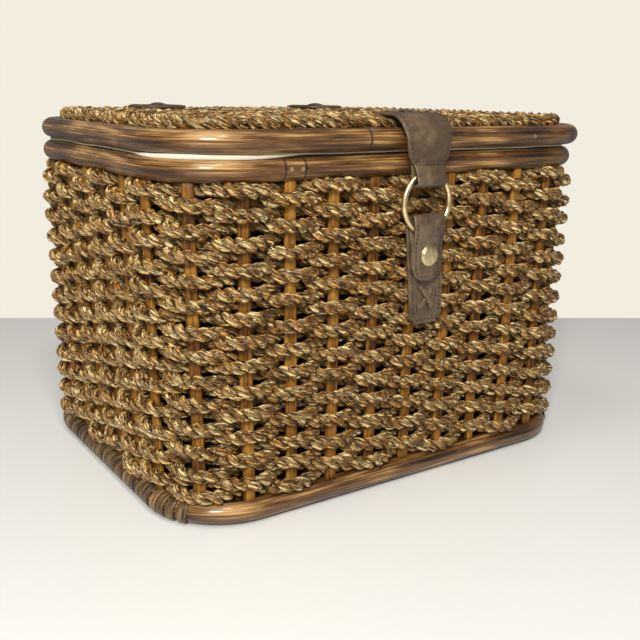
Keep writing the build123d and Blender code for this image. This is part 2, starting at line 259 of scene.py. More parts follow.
def finish(name):
    """The material made under a name."""
    return bpy.data.materials["look_" + name]


def rope_material(look):
    """Twisted dry grass: crinkled leaf wound lengthways in its own uneven tones, with painted highlights on
    the pale ridges and painted shade in the dark cracks, the folds and between the strands.
    """
    g = fresh("grass_rope")
    along, ring_x, ring_y = g.on_tube()
    tone = g.attribute("tone")
    ring_y = ring_y + tone * 40.0
    radius = g.node("ShaderNodeVectorMath", {"operation": "DISTANCE"},
                    {0: g.place(), 1: g.attribute("centre", "Vector")}, out="Value")
    # Painted shade: the rope is darkened towards its middle line, between the strands
    clear_of_painted_shade = g.band(radius, 0.0018, 0.0047)
    fibres = g.noise(g.combined(along * 95.0, ring_x * 4.2, ring_y * 4.2), 5.0, 0.62)
    folds = g.noise(g.combined(along * 290.0, ring_x * 1.5, ring_y * 1.5), 3.0, 0.6)
    patches = g.noise(g.combined(along * 48.0, ring_x * 0.6, ring_y * 0.6), 2.0, 0.5)
    bent = (folds - 0.5) * 1.6
    leaf_place = {"Vector": g.combined(along * 190.0 + bent, ring_x * 1.7 + bent, ring_y * 1.7), "Scale": 1.0}
    leaf = g.node("ShaderNodeSeparateColor", None, {
        0: g.node("ShaderNodeTexVoronoi", {"feature": "F1"}, leaf_place, out="Color")})
    edge = g.node("ShaderNodeTexVoronoi", {"feature": "DISTANCE_TO_EDGE"}, leaf_place, out="Distance")
    # Painted shade in the cracks between the leaf pieces, which the bump also sinks
    crack_painted_shade = 1.0 - g.band(edge, 0.015, 0.12)
    # The grass's own tones, with painted shade at the low end in the folds and painted highlights at the high
    # end on the ridges
    value = 0.60 + (fibres - 0.5) * 2.7 + (folds - 0.5) * 1.3 + (patches - 0.5) * 1.0 + (leaf - 0.5) * 0.9
    colour = g.ramp(value, (0.02, look.rope_fold_painted_shade), (0.30, look.rope_mid), (0.52, look.rope_tan),
                    (0.88, look.rope_pale_and_painted_highlight))
    colour = g.mixed(crack_painted_shade * 0.92, colour, look.rope_crack_painted_shade)
    colour = g.mixed(clear_of_painted_shade, look.rope_hollow_painted_shade, colour)
    rough = 0.44 - 0.22 * g.band(folds, 0.42, 0.60)
    height = fibres * 0.6 + folds * 1.1 + leaf * 0.35 - crack_painted_shade * 0.35
    return surface(g, colour, rough, coat=0.2, gloss=0.3, height=height, depth=0.0030)


def pole_material(look, name, marks):
    """A stained bent pole: streaks along it, darker patches, and dark marks some way along."""
    g = fresh(name)
    along, ring_x, ring_y = g.on_tube()
    streaks = g.noise(g.combined(along * 11.0, ring_x * 8.0, ring_y * 8.0), 6.0, 0.68)
    patches = g.noise(g.combined(along * 19.0, ring_x * 0.9, ring_y * 0.9), 3.0, 0.5)
    fine = g.noise(g.combined(along * 34.0, ring_x * 24.0, ring_y * 24.0), 3.0, 0.5)
    value = 0.48 + (streaks * 0.42 + patches * 0.43 + fine * 0.15 - 0.5) * 4.6
    colour = g.ramp(value, (0.16, look.pole_dark), (0.50, look.pole_mid), (0.92, look.pole_honey))
    dark = g.band(fine, 0.62, 0.70) * 0.5
    for mark in marks:
        near = g.math("ABSOLUTE", along + (fine - 0.5) * 0.0012 - mark)
        dark = g.math("MAXIMUM", dark, 1.0 - g.band(near, 0.0003, 0.0011))
    colour = g.mixed(dark * 0.85, colour, look.pole_mark)
    rough = 0.10 + 0.34 * streaks
    height = streaks * 0.7 + fine * 0.5 - dark * 0.6
    return surface(g, colour, rough, coat=0.35, gloss=0.4, height=height, depth=0.0008)


def cane_material(look):
    """Flat cane wound round the base: grain along the strip, each turn a little different."""
    g = fresh("cane")
    along = g.attribute("along")
    across = g.attribute("around")
    fine = g.noise(g.combined(along * 60.0, across * 9.0, 0.0), 5.0, 0.62)
    patches = g.noise(g.combined(along * 17.0, across * 0.7, 5.0), 3.0, 0.5)
    value = 0.44 + (fine * 0.6 + patches * 0.4 - 0.5) * 3.4
    colour = g.ramp(value, (0.16, look.pole_dark), (0.50, look.cane_mid), (0.90, look.cane_pale))
    return surface(g, colour, 0.34 + 0.2 * fine, coat=0.2, gloss=0.35, height=fine, depth=0.0006)


def stake_material(look):
    """Split rattan: fine grain along the stake."""
    g = fresh("rattan_stake")
    grain_way = g.attribute("along")
    across = g.attribute("around")
    tone = g.attribute("tone")
    grain = g.noise(g.combined(grain_way * 16.0, across * 26.0, tone * 40.0), 5.0, 0.62)
    patches = g.noise(g.combined(grain_way * 34.0, across * 1.0, tone * 23.0), 3.0, 0.5)
    value = 0.5 + (grain * 0.5 + patches * 0.5 - 0.5) * 3.0 + (tone - 0.5) * 0.3
    colour = g.ramp(value, (0.20, look.stake_dark), (0.50, look.stake_mid), (0.82, look.stake_pale))
    return surface(g, colour, 0.42 + 0.2 * grain, gloss=0.3, height=grain, depth=0.0005)


def leather_material(look):
    """Smooth taupe leather: fine grain, faint creases with painted shade in them, slightly rubbed high
    places.
    """
    g = fresh("leather")
    place = g.place()
    grain = g.node("ShaderNodeTexVoronoi", {"feature": "SMOOTH_F1"},
                   {"Vector": place, "Scale": 1300.0, "Smoothness": 0.6}, out="Distance")
    creases = g.noise(g.scaled(place, 160.0), 5.0, 0.62)
    patches = g.noise(g.scaled(place, 42.0), 2.0, 0.5)
    rubbed = g.band(creases * 0.45 + patches * 0.55, 0.42, 0.66)
    colour = g.mixed(rubbed, look.leather, look.leather_rubbed)
    # Painted shade in the creases, where the bump is lowest
    colour = g.mixed(0.35 * (1.0 - g.band(creases, 0.30, 0.42)), colour, look.leather_crease_painted_shade)
    rough = 0.42 - 0.14 * rubbed
    return surface(g, colour, rough, gloss=0.5, height=grain * 0.35 + creases * 0.9, depth=0.0008)


def cloth_material(look):
    """Plain cream cotton: fine threads both ways and soft creases. The outside of the basket's lining is
    painted near black as the shade seen in the gaps of the wall.
    """
    g = fresh("lining_cloth")
    place = g.place()
    threads = {"Vector": place, "Scale": 420.0, "Distortion": 0.4}
    warp, weft = (
        g.node("ShaderNodeTexWave", {"wave_type": "BANDS", "bands_direction": way}, threads, out="Fac")
        for way in ("X", "Z")
    )
    creases = g.noise(g.scaled(place, 60.0), 3.0, 0.5)
    colour = g.mixed(creases, look.cloth_shade, look.cloth)
    # Painted shade: the lining's outside below the rim
    colour = g.mixed(g.attribute("reverse"), colour, look.cloth_reverse_painted_shade)
    return surface(g, colour, 0.85, height=warp * 0.3 + weft * 0.3 + creases, depth=0.0004)


def brass_material(look):
    """Pale brass, lightly worn."""
    g = fresh("brass")
    wear = g.noise(g.scaled(g.place(), 420.0), 4.0, 0.6)
    colour = g.mixed(g.band(wear, 0.35, 0.7), look.brass_dark, look.brass)
    return surface(g, colour, 0.20 + 0.22 * wear, metal=1.0, height=wear, depth=0.00004)


def thread_material(look):
    """Waxed thread in the seams."""
    g = fresh("thread")
    twist = g.noise(g.scaled(g.place(), 2600.0), 2.0, 0.5)
    colour = g.mixed(twist, look.thread_dark, look.thread)
    return surface(g, colour, 0.6, height=twist, depth=0.0001)


def slot_painted_shade_material():
    """Painted shade: the inside of a cut in the leather, near black."""
    g = fresh("slit")
    cut = g.noise(g.scaled(g.place(), 900.0), 2.0, 0.5)
    return surface(g, g.mixed(cut, (0.004, 0.003, 0.002), (0.012, 0.008, 0.006)), 0.8)


def steel_material():
    """Plated magnet disc."""
    g = fresh("magnet")
    wear = g.noise(g.scaled(g.place(), 700.0), 3.0, 0.5)
    colour = g.mixed(wear, (0.42, 0.42, 0.43), (0.62, 0.62, 0.63))
    return surface(g, colour, 0.28 + 0.15 * wear, metal=1.0)


# Geometry node trees

def new_tree(name, numbers):
    """A geometry tree with named number inputs. Returns its graph and the links of its inputs."""
    tree = bpy.data.node_groups.new(name, "GeometryNodeTree")
    tree.interface.new_socket("Geometry", in_out="INPUT", socket_type="NodeSocketGeometry")
    tree.interface.new_socket("Geometry", in_out="OUTPUT", socket_type="NodeSocketGeometry")
    for label, kind in numbers:
        tree.interface.new_socket(label, in_out="INPUT", socket_type=kind)
    g = Graph(tree)
    start = tree.nodes.new("NodeGroupInput")
    links = {socket.name: Link(g, socket) for socket in start.outputs if socket.name}
    return g, links


def finish_tree(g, geometry, material):
    """Ends a tree in plain, smooth mesh with its material."""
    smooth = g.node("GeometryNodeSetShadeSmooth", None, {"Geometry": geometry})
    real = g.node("GeometryNodeRealizeInstances", None, {"Geometry": smooth})
    dressed = g.node("GeometryNodeSetMaterial", None, {"Geometry": real, "Material": material})
    output = g.tree.nodes.new("NodeGroupOutput")
    g.tree.links.new(dressed.socket, output.inputs[0])
    return g.tree


def stored(g, geometry, name, value, kind="FLOAT"):
    """Keeps a field on the points, for the material."""
    settings = {"data_type": kind, "domain": "POINT"}
    return g.node("GeometryNodeStoreNamedAttribute", settings,
                  {"Geometry": geometry, "Name": name, "Value": value})


def profile_circle(g, sides, radius):
    """A round section that knows the way round it."""
    circle = g.node("GeometryNodeCurvePrimitiveCircle", None, {"Resolution": sides, "Radius": radius})
    return stored(g, circle, "around", g.node("GeometryNodeSplineParameter", out="Factor"))


def even_path(g, given):
    """The paths in even steps, their normals level."""
    path = g.node("GeometryNodeResampleCurve", {"mode": "LENGTH"},
                  {"Curve": given["Geometry"], "Length": given["Step"]})
    return g.node("GeometryNodeSetCurveNormal", {"mode": "Z_UP"}, {"Curve": path})


def tube(g, path, sides, radius, scale):
    """A closed tube along the paths, scaled at each point."""
    return g.node("GeometryNodeCurveToMesh", None, {
        "Curve": path, "Profile Curve": profile_circle(g, sides, radius), "Scale": scale, "Fill Caps": True,
    })


def rope_tree(material):
    """Two strands twisted round each path, right-handed, a little uneven as grass rope is."""
    g, given = new_tree("Twisted rope", (
        ("Strand Radius", "NodeSocketFloat"), ("Twist Radius", "NodeSocketFloat"),
        ("Lay", "NodeSocketFloat"), ("Step", "NodeSocketFloat"),
        ("Crumple", "NodeSocketFloat"), ("Sides", "NodeSocketInt"), ("Seed", "NodeSocketInt"),
    ))
    path = even_path(g, given)
    place = g.node("GeometryNodeInputPosition")
    number = g.node("GeometryNodeCurveOfPoint", out="Curve Index")
    tone = g.node("FunctionNodeRandomValue", {"data_type": "FLOAT"},
                  {2: 0.0, 3: 1.0, "ID": number, "Seed": given["Seed"]}, out=1)
    # The middle line, kept for the material's painted shade between the strands
    path = stored(g, path, "centre", place, "FLOAT_VECTOR")
    path = stored(g, path, "tone", tone)
    out = g.node("GeometryNodeInputNormal")
    up = g.vector("CROSS_PRODUCT", g.node("GeometryNodeInputTangent"), out)
    turns = g.math("ROUND", g.node("GeometryNodeSplineLength", out="Length") / given["Lay"])
    wander = g.noise(g.scaled(place, 90.0), 2.0, 0.5) - 0.5
    angle = g.node("GeometryNodeSplineParameter", out="Factor") * turns * (2 * math.pi)
    angle = angle + wander * 1.6 + tone * 6.0
    travel = g.node("GeometryNodeSplineParameter", out="Length")
    join = g.tree.nodes.new("GeometryNodeJoinGeometry")
    for strand in range(2):
        turned = angle + math.pi * strand
        offset = g.vector("ADD", g.scaled(out, g.math("COSINE", turned)),
                          g.scaled(up, g.math("SINE", turned)))
        offset = g.scaled(offset, given["Twist Radius"])
        moved = g.node("GeometryNodeSetPosition", None, {"Geometry": path, "Offset": offset})
        moved = stored(g, moved, "along", travel + 0.371 * strand)
        lump = g.noise(g.scaled(place, 210.0 * (1 + strand)), 2.0, 0.5)
        skin = tube(g, moved, given["Sides"], given["Strand Radius"], 0.66 + lump * 0.70)
        g.tree.links.new(skin.socket, join.inputs[0])
    both = Link(g, join.outputs[0])
    crumple = g.noise(g.scaled(g.node("GeometryNodeInputPosition"), 430.0), 2.0, 0.7) - 0.5
    push = g.scaled(g.node("GeometryNodeInputNormal"), crumple * given["Crumple"])
    both = g.node("GeometryNodeSetPosition", None, {"Geometry": both, "Offset": push})
    return finish_tree(g, both, material)


def pole_tree(name, material):
    """A round pole along each path, slightly uneven."""
    g, given = new_tree(name, (
        ("Radius", "NodeSocketFloat"), ("Step", "NodeSocketFloat"), ("Sides", "NodeSocketInt"),
        ("Unevenness", "NodeSocketFloat"),
    ))
    path = stored(g, even_path(g, given), "along", g.node("GeometryNodeSplineParameter", out="Length"))
    lump = g.noise(g.scaled(g.node("GeometryNodeInputPosition"), 22.0), 2.0, 0.5) - 0.5
    skin = tube(g, path, given["Sides"], given["Radius"], 1.0 + lump * given["Unevenness"])
    return finish_tree(g, skin, material)


def stitch_tree(material):
    """Stitches lying end to end along each path."""
    g, given = new_tree("Stitches", (
        ("Pitch", "NodeSocketFloat"), ("Length", "NodeSocketFloat"), ("Thickness", "NodeSocketFloat"),
    ))
    points = g.node("GeometryNodeResampleCurve", {"mode": "LENGTH"},
                    {"Curve": given["Geometry"], "Length": given["Pitch"]})
    bead = g.node("GeometryNodeMeshUVSphere", None, {"Segments": 8, "Rings": 5, "Radius": 0.5})
    turn = g.node("FunctionNodeAlignRotationToVector", {"axis": "X"},
                  {"Vector": g.node("GeometryNodeInputTangent")})
    size = g.combined(given["Length"], given["Thickness"], given["Thickness"])
    placed = g.node("GeometryNodeInstanceOnPoints", None,
                    {"Points": points, "Instance": bead, "Rotation": turn, "Scale": size})
    return finish_tree(g, placed, material)


# Mesh helpers

def show(obj, body, slot, *nodes):
    """Puts a finished piece on its body, in place of its CAD nodes if it has any."""
    if nodes:
        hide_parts(*nodes)
    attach(obj, body)
    return obj


def mesh_object(name, verts, faces, material, layers=None):
    """A smooth object from points and faces, with number layers on its points."""
    mesh = bpy.data.meshes.new(name)
    mesh.from_pydata([tuple(map(float, v)) for v in verts], [], faces)
    mesh.validate()
    mesh.shade_smooth()
    for label, values in (layers or {}).items():
        layer = mesh.attributes.new(label, "FLOAT", "POINT")
        layer.data.foreach_set("value", np.asarray(values, dtype=np.float32))
    mesh.materials.append(material)
    obj = bpy.data.objects.new(name, mesh)
    bpy.context.collection.objects.link(obj)
    return obj


def ring_round(centre, first, second, count):
    """Points evenly round an ellipse, given its two half axes."""
    turns = np.linspace(0, 2 * math.pi, count, endpoint=False)[:, None]
    return np.asarray(centre) + first * np.cos(turns) + second * np.sin(turns)


def travelled(points):
    """How far along a path each of its points is."""
    return np.concatenate([[0], np.cumsum(np.linalg.norm(np.diff(points, axis=0), axis=1))])


def unit(ways):
    """Each way at length 1."""
    return ways / np.linalg.norm(ways, axis=1)[:, None]


def lofted(sections, closed=False):
    """Points and faces of a skin through rings of points, capped at both ends unless closed."""
    sections = np.asarray(sections)
    count, sides = sections.shape[:2]
    verts = sections.reshape(-1, 3)
    faces = []
    for i in range(count if closed else count - 1):
        j = (i + 1) % count
        for k in range(sides):
            m = (k + 1) % sides
            faces.append((i * sides + k, i * sides + m, j * sides + m, j * sides + k))
    if not closed:
        faces.append(tuple(range(sides - 1, -1, -1)))
        faces.append(tuple((count - 1) * sides + k for k in range(sides)))
    return verts, faces


def outward(obj):
    """Turns a closed mesh's faces outwards."""
    mesh = obj.data
    verts = np.empty(len(mesh.vertices) * 3)
    mesh.vertices.foreach_get("co", verts)
    verts = verts.reshape(-1, 3)
    volume = 0.0
    mesh.calc_loop_triangles()
    for triangle in mesh.loop_triangles:
        a, b, c = (verts[i] for i in triangle.vertices)
        volume += float(np.dot(a, np.cross(b, c)))
    if volume < 0:
        mesh.flip_normals()
    return obj


def grown(name, paths, closed, tree, values):
    """The plain mesh that a geometry tree makes of some paths."""
    curve = bpy.data.curves.new(name, "CURVE")
    curve.dimensions = "3D"
    for path in paths:
        spline = curve.splines.new("POLY")
        spline.points.add(len(path) - 1)
        points = np.column_stack([np.asarray(path), np.ones(len(path))])
        spline.points.foreach_set("co", points.astype(np.float32).ravel())
        spline.use_cyclic_u = closed
    source = bpy.data.objects.new(name + "_path", curve)
    bpy.context.collection.objects.link(source)
    modifier = source.modifiers.new("Grow", "NODES")
    modifier.node_group = tree
    for item in tree.interface.items_tree:
        if item.name in values:
            modifier[item.identifier] = values[item.name]
    evaluated = source.evaluated_get(bpy.context.evaluated_depsgraph_get())
    mesh = bpy.data.meshes.new_from_object(evaluated)
    obj = bpy.data.objects.new(name, mesh)
    bpy.context.collection.objects.link(obj)
    bpy.data.objects.remove(source)
    bpy.data.curves.remove(curve)
    return obj


# The basket's outline

def around_at(u, size, corner):
    """Places and outward ways on a rounded rectangle. u counts stakes, from the left front corner."""
    u = np.asarray(u, dtype=float) % STAKES
    x, y, nx, ny = (np.zeros_like(u) for _ in range(4))
    start = 0
    for turn, along, across, steps in (
        (0, size[0], size[1], FRONT_STEPS), (1, size[1], size[0], SIDE_STEPS),
        (2, size[0], size[1], FRONT_STEPS), (3, size[1], size[0], SIDE_STEPS),
    ):
        here = (u >= start) & (u < start + steps)
        straight = along / 2 - corner
        reach = straight + corner * math.pi / 4
        travel = reach * (2 * (u[here] - start) / steps - 1)
        angle = np.sign(travel) * np.maximum(np.abs(travel) - straight, 0) / corner
        px = np.clip(travel, -straight, straight) + corner * np.sin(angle)
        py = -(across / 2 - corner + corner * np.cos(angle))
        ox, oy = np.sin(angle), -np.cos(angle)
        c, s = ((1, 0), (0, 1), (-1, 0), (0, -1))[turn]
        x[here], y[here] = c * px - s * py, s * px + c * py
        nx[here], ny[here] = c * ox - s * oy, s * ox + c * oy
        start += steps
    return x, y, nx, ny


def rim_path(size, corner, height, offset=0.0, shift=0.0):
    """A closed path round the basket, starting in the middle of the back."""
    fine = 12
    start = FRONT_STEPS + SIDE_STEPS + FRONT_STEPS / 2
    x, y, nx, ny = around_at(start + np.arange(STAKES * fine) / fine, size, corner)
    return np.column_stack([x + nx * offset + shift, y + ny * offset, np.full_like(x, height)])


def along_at(path, x):
    """How far along a rim's path a place on its front is."""
    travel = travelled(path)
    front = path[:, 1] < path[:, 1].min() + 0.001
    order = np.argsort(path[front, 0])
    return float(np.interp(x, path[front, 0][order], travel[front][order]))


def size_at(z):
    """The wall's outline at a height."""
    share = (z - BASE_Z) / (RIM_Z - BASE_Z)
    return tuple(b + (r - b) * share for b, r in zip(BASE_SIZE, RIM_SIZE))


def smooth_random(rng, count, fine, amount):
    """Random values at each stake, joined smoothly, on a closed row."""
    knots = rng.uniform(-amount, amount, count)
    t = np.arange(count * fine) / fine
    low = t.astype(int)
    share = t - low
    share = share * share * (3 - 2 * share)
    return knots[low] * (1 - share) + knots[(low + 1) % count] * share


def front_step(size, corner):
    """From one stake to the next along the front, measured on a pole's middle line."""
    return 2 * (size[0] / 2 - corner + corner * math.pi / 4) / FRONT_STEPS


def over_under(steps):
    """A rope's way in and out between the stakes, from 1 to -1, a little squarer than a cosine."""
    wave = np.cos(math.pi * steps)
    return np.sign(wave) * np.abs(wave) ** 0.8


def wall_rows(sizes):
    """The paths of the wall's rows."""
    rng = np.random.default_rng(seed=7)
    low, high = (end[2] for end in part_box("wall_weave"))
    low, high = low + ROPE_REACH, high - ROPE_REACH
    fine = 14
    u = np.arange(STAKES * fine) / fine
    rows = []
    for row in range(sizes.wall_rows):
        z = low + (high - low) * row / (sizes.wall_rows - 1)
        x, y, nx, ny = around_at(u, size_at(z), CORNER)
        reach = (WALL_SWING + smooth_random(rng, STAKES, fine, 0.0004)) * over_under(u + row)
        drift = smooth_random(rng, STAKES, fine, 0.0013) - 0.0006 * np.sin(math.pi * (u + row))
        lift = np.clip(z + drift, low - 0.0005, high + 0.0005)
        rows.append(np.column_stack([x + nx * reach, y + ny * reach, lift]))
    return rows


def mat_rows(size, corner, height, inset, count, swing, shift=0.0):
    """The paths of the ropes across the lid or the base."""
    rng = np.random.default_rng(seed=11)
    inner = corner - inset
    outer = size[1] / 2 - inset - ROPE_REACH
    step = front_step(size, corner)
    rows = []
    for row in range(count):
        y = outer * (2 * row / (count - 1) - 1)
        beyond = max(abs(y) + ROPE_REACH - (size[1] / 2 - corner), 0)
        half = size[0] / 2 - corner + math.sqrt(max(inner ** 2 - beyond ** 2, 0)) - 0.0008
        x = np.linspace(-half, half, 160)
        drift = np.interp(x, np.linspace(-half, half, 14), rng.uniform(-0.0008, 0.0008, 14))
        rows.append(np.column_stack([x + shift, y + drift, height + swing * over_under(x / step + row)]))
    return rows


# Straps

def strap_section(width, thickness, puff=0.0003, groove=None, count=14):
    """A strap's section as (across, out) pairs: rounded edges, a soft face and a dent at the seam."""
    half = width / 2
    edge = min(thickness * 0.42, half * 0.9)
    face = np.linspace(-(half - edge), half - edge, count)
    front = thickness / 2 + puff * (1 - (face / half) ** 2)
    if groove and half > groove * 1.5:
        front = front - GROOVE_DEPTH * np.exp(-(((np.abs(face) - (half - groove)) / GROOVE_WIDTH) ** 2))
    points = list(zip(face, front))
    flat = thickness / 2 - edge
    for angle in (60, 30, 0, -30, -60):
        a = math.radians(angle)
        points.append((half - edge + edge * math.cos(a), math.copysign(flat, a) + edge * math.sin(a)))
    points += [(v, -thickness / 2) for v in face[::-1]]
    for angle in (-120, -150, -180, -210, -240):
        a = math.radians(angle)
        side = 1 if angle < -180 else -1
        points.append((-(half - edge) + edge * math.cos(a), flat * side + edge * math.sin(a)))
    return np.array(points)


def strap_path(corners, step=0.0012, rounding=0.004):
    """A smooth side view through (out, height) corners, evenly spaced."""
    corners = np.asarray(corners, dtype=float)
    dense = []
    for a, b in zip(corners[:-1], corners[1:]):
        count = max(2, int(np.linalg.norm(b - a) / (step / 4)))
        dense += [a + (b - a) * i / count for i in range(count)]
    dense = np.array(dense + [corners[-1]])
    reach = max(1, int(rounding / (step / 4)))
    kernel = np.hanning(2 * reach + 3)[1:-1]
    kernel /= kernel.sum()
    padded = np.vstack([
        2 * dense[0] - dense[reach:0:-1], dense, 2 * dense[-1] - dense[-2:-reach - 2:-1],
    ])
    smooth = np.column_stack([np.convolve(padded[:, i], kernel, "valid") for i in range(2)])
    travel = travelled(smooth)
    places = np.linspace(0, travel[-1], max(3, int(travel[-1] / step)))
    return np.column_stack([np.interp(places, travel, smooth[:, i]) for i in range(2)]), places


def bend(out, flat):
    """Corners of a strap's turn from the wall, at a place out, to the lid, at a height."""
    return [(out, flat - BEND_REACH), (out - BEND_CUT, flat - BEND_CUT), (out - BEND_REACH, flat)]


class Strip:
    """A leather strap along a side view, on the back (side 1) or on the front (side -1) of the basket.

    Its width is a function of the way along it, and its middle is a place or a function of the height.
    """

    def __init__(self, path, places, x, side, width, thickness):
        way = unit(np.gradient(path, axis=0))
        across = x(path[:, 1]) if callable(x) else np.full(len(path), x)
        self.places = places
        self.width = width
        self.thickness = thickness
        self.centres = np.column_stack([across, side * path[:, 0], path[:, 1]])
        self.outs = np.column_stack([np.zeros(len(path)), side * way[:, 1], -way[:, 0]])

    def leather(self, name, groove=None):
        """The strap itself, dented along its seams."""
        sections = []
        for centre, out, place in zip(self.centres, self.outs, self.places):
            section = strap_section(self.width(place), self.thickness, groove=groove)
            sections.append(centre + section[:, :1] * ACROSS + section[:, 1:] * out)
        verts, faces = lofted(sections)
        return outward(mesh_object(name, verts, faces, finish("leather")))

    def seam(self, inset, ends, across_end=None):
        """Paths of the two stitched rows along the strap, and of the row across its end."""
        first, last = (share * self.places[-1] for share in ends)
        keep = (self.places >= first) & (self.places <= last)
        lines = []
        for hand in (-1, 1):
            across = np.array([hand * max(self.width(place) / 2 - inset, 0) for place in self.places])
            rise = self.thickness / 2 + 0.00012
            line = self.centres + across[:, None] * ACROSS + self.outs * rise
            lines.append(line[keep])
        if across_end is not None:
            spot = int(np.argmin(np.abs(self.places - across_end)))
            reach = self.width(self.places[spot]) / 2 - inset
            start = self.centres[spot] + self.outs[spot] * (self.thickness / 2 + 0.0002)
            lines.append(start + np.linspace(-reach, reach, 12)[:, None] * ACROSS)
        return lines


def round_ended(width_at, total, radius):
    """A strap's width with both of its ends rounded."""
    def width(place):
        left = min(place, total - place, radius)
        trim = radius - math.sqrt(max(radius ** 2 - (radius - left) ** 2, 0))
        return max(width_at(place) - 2 * trim, 0.002)

    return width


def thong(name, centre, across, up, out, ends, lift):
    """A leather thong from one hole to another on a strap, arched clear of what it crosses."""
    (x0, y0), (x1, y1) = ends
    sink = 0.003
    share = np.linspace(0, 1, 26)[:, None]
    arch = np.sin(np.pi * share) ** 0.45
    points = (centre + across * (x0 + (x1 - x0) * share) + up * (y0 + (y1 - y0) * share)
              + out * (-sink + (sink + lift) * arch))
    way = unit(np.gradient(points, axis=0))
    flat = unit(np.cross(out, way))
    rise = np.cross(way, flat)
    sections = [ring_round(point, a * THONG_WIDTH / 2, b * THONG_THICKNESS / 2, 12)
                for point, a, b in zip(points, flat, rise)]
    verts, faces = lofted(sections)
    return outward(mesh_object(name, verts, faces, finish("leather")))


def slot_mouth(name, centre, across, up, out, reach):
    """The mouth of a slot in a strap: a thin disc painted near black as the shade inside the slot."""
    sections = [ring_round(centre + out * rise, across * SLOT_WIDTH / 2, up * reach, 14)
                for rise in (-0.0004, 0.0002)]
    verts, faces = lofted(sections)
    return outward(mesh_object(name, verts, faces, finish("slit")))


def joined(name, objects):
    """Several pieces of one body and one material as one mesh."""
    verts = []
    faces = []
    for obj in objects:
        start = len(verts)
        verts += [tuple(v.co) for v in obj.data.vertices]
        faces += [tuple(start + i for i in face.vertices) for face in obj.data.polygons]
    material = objects[0].data.materials[0]
    for obj in objects:
        bpy.data.objects.remove(obj)
    return mesh_object(name, verts, faces, material)


def laced(name, centre, up, out, body, replaced, half=(0.0060, 0.0080), lift=0.0006):
    """The crossed lace on a strap, with the mouths of its two slots painted as dark shade."""
    across = np.cross(up, out)
    x, y = half
    crossing = ((-x, -y), (x, y)), ((-x, y), (x, -y))
    thongs = [thong(f"{name}_{i}", centre, across, up, out, ends, lift * (1 + 1.3 * i))
              for i, ends in enumerate(crossing)]
    show(joined(name, thongs), body, "leather", replaced)
    mouths = [slot_mouth(f"{name}_mouth", centre + across * x * hand, across, up, out, y * 1.1)
              for hand in (-1, 1)]
    show(joined(name + "_mouths", mouths), body, "leather")


def stitched(name, lines, body, sizes):
    """A seam's stitches."""
    lines = [line for line in lines if len(line) > 2]
    obj = grown(name, lines, False, bpy.data.node_groups["Stitches"], {
        "Pitch": sizes.stitch_pitch, "Length": sizes.stitch_length, "Thickness": sizes.stitch_thickness,
    })
    return show(obj, body, "leather")


# What a user would change

def length_property(label, description, value):
    return FloatProperty(name=label, description=description, default=value, subtype="DISTANCE",
                         unit="LENGTH")


class BASKET_PG_sizes(bpy.types.PropertyGroup):
    """Sizes of what is only drawn"""

    rope_diameter: length_property("Rope", "Rope thickness over both strands", 0.0098)
    rope_crumple: length_property("Crumple", "Depth of the creases in the grass", 0.0032)
    rope_lay: length_property("Lay", "Length of one full turn of the rope's strands", 0.0170)
    cane_width: length_property("Cane width", "Width of the cane round the base", 0.0064)
    cane_pitch: length_property("Cane pitch", "From one turn of cane to the next", 0.0078)
    wall_rows: IntProperty(name="Wall rows", description="Rows of rope in the wall", default=26, min=8)
    stitch_pitch: length_property("Stitch pitch", "From one stitch to the next", 0.0030)
    stitch_length: length_property("Stitch", "Length of a stitch", 0.0021)
    stitch_thickness: length_property("Thread", "Thickness of the thread", 0.0009)


def colour_property(label, description, value):
    return FloatVectorProperty(name=label, description=description, default=value, subtype="COLOR",
                               min=0.0, max=1.0)


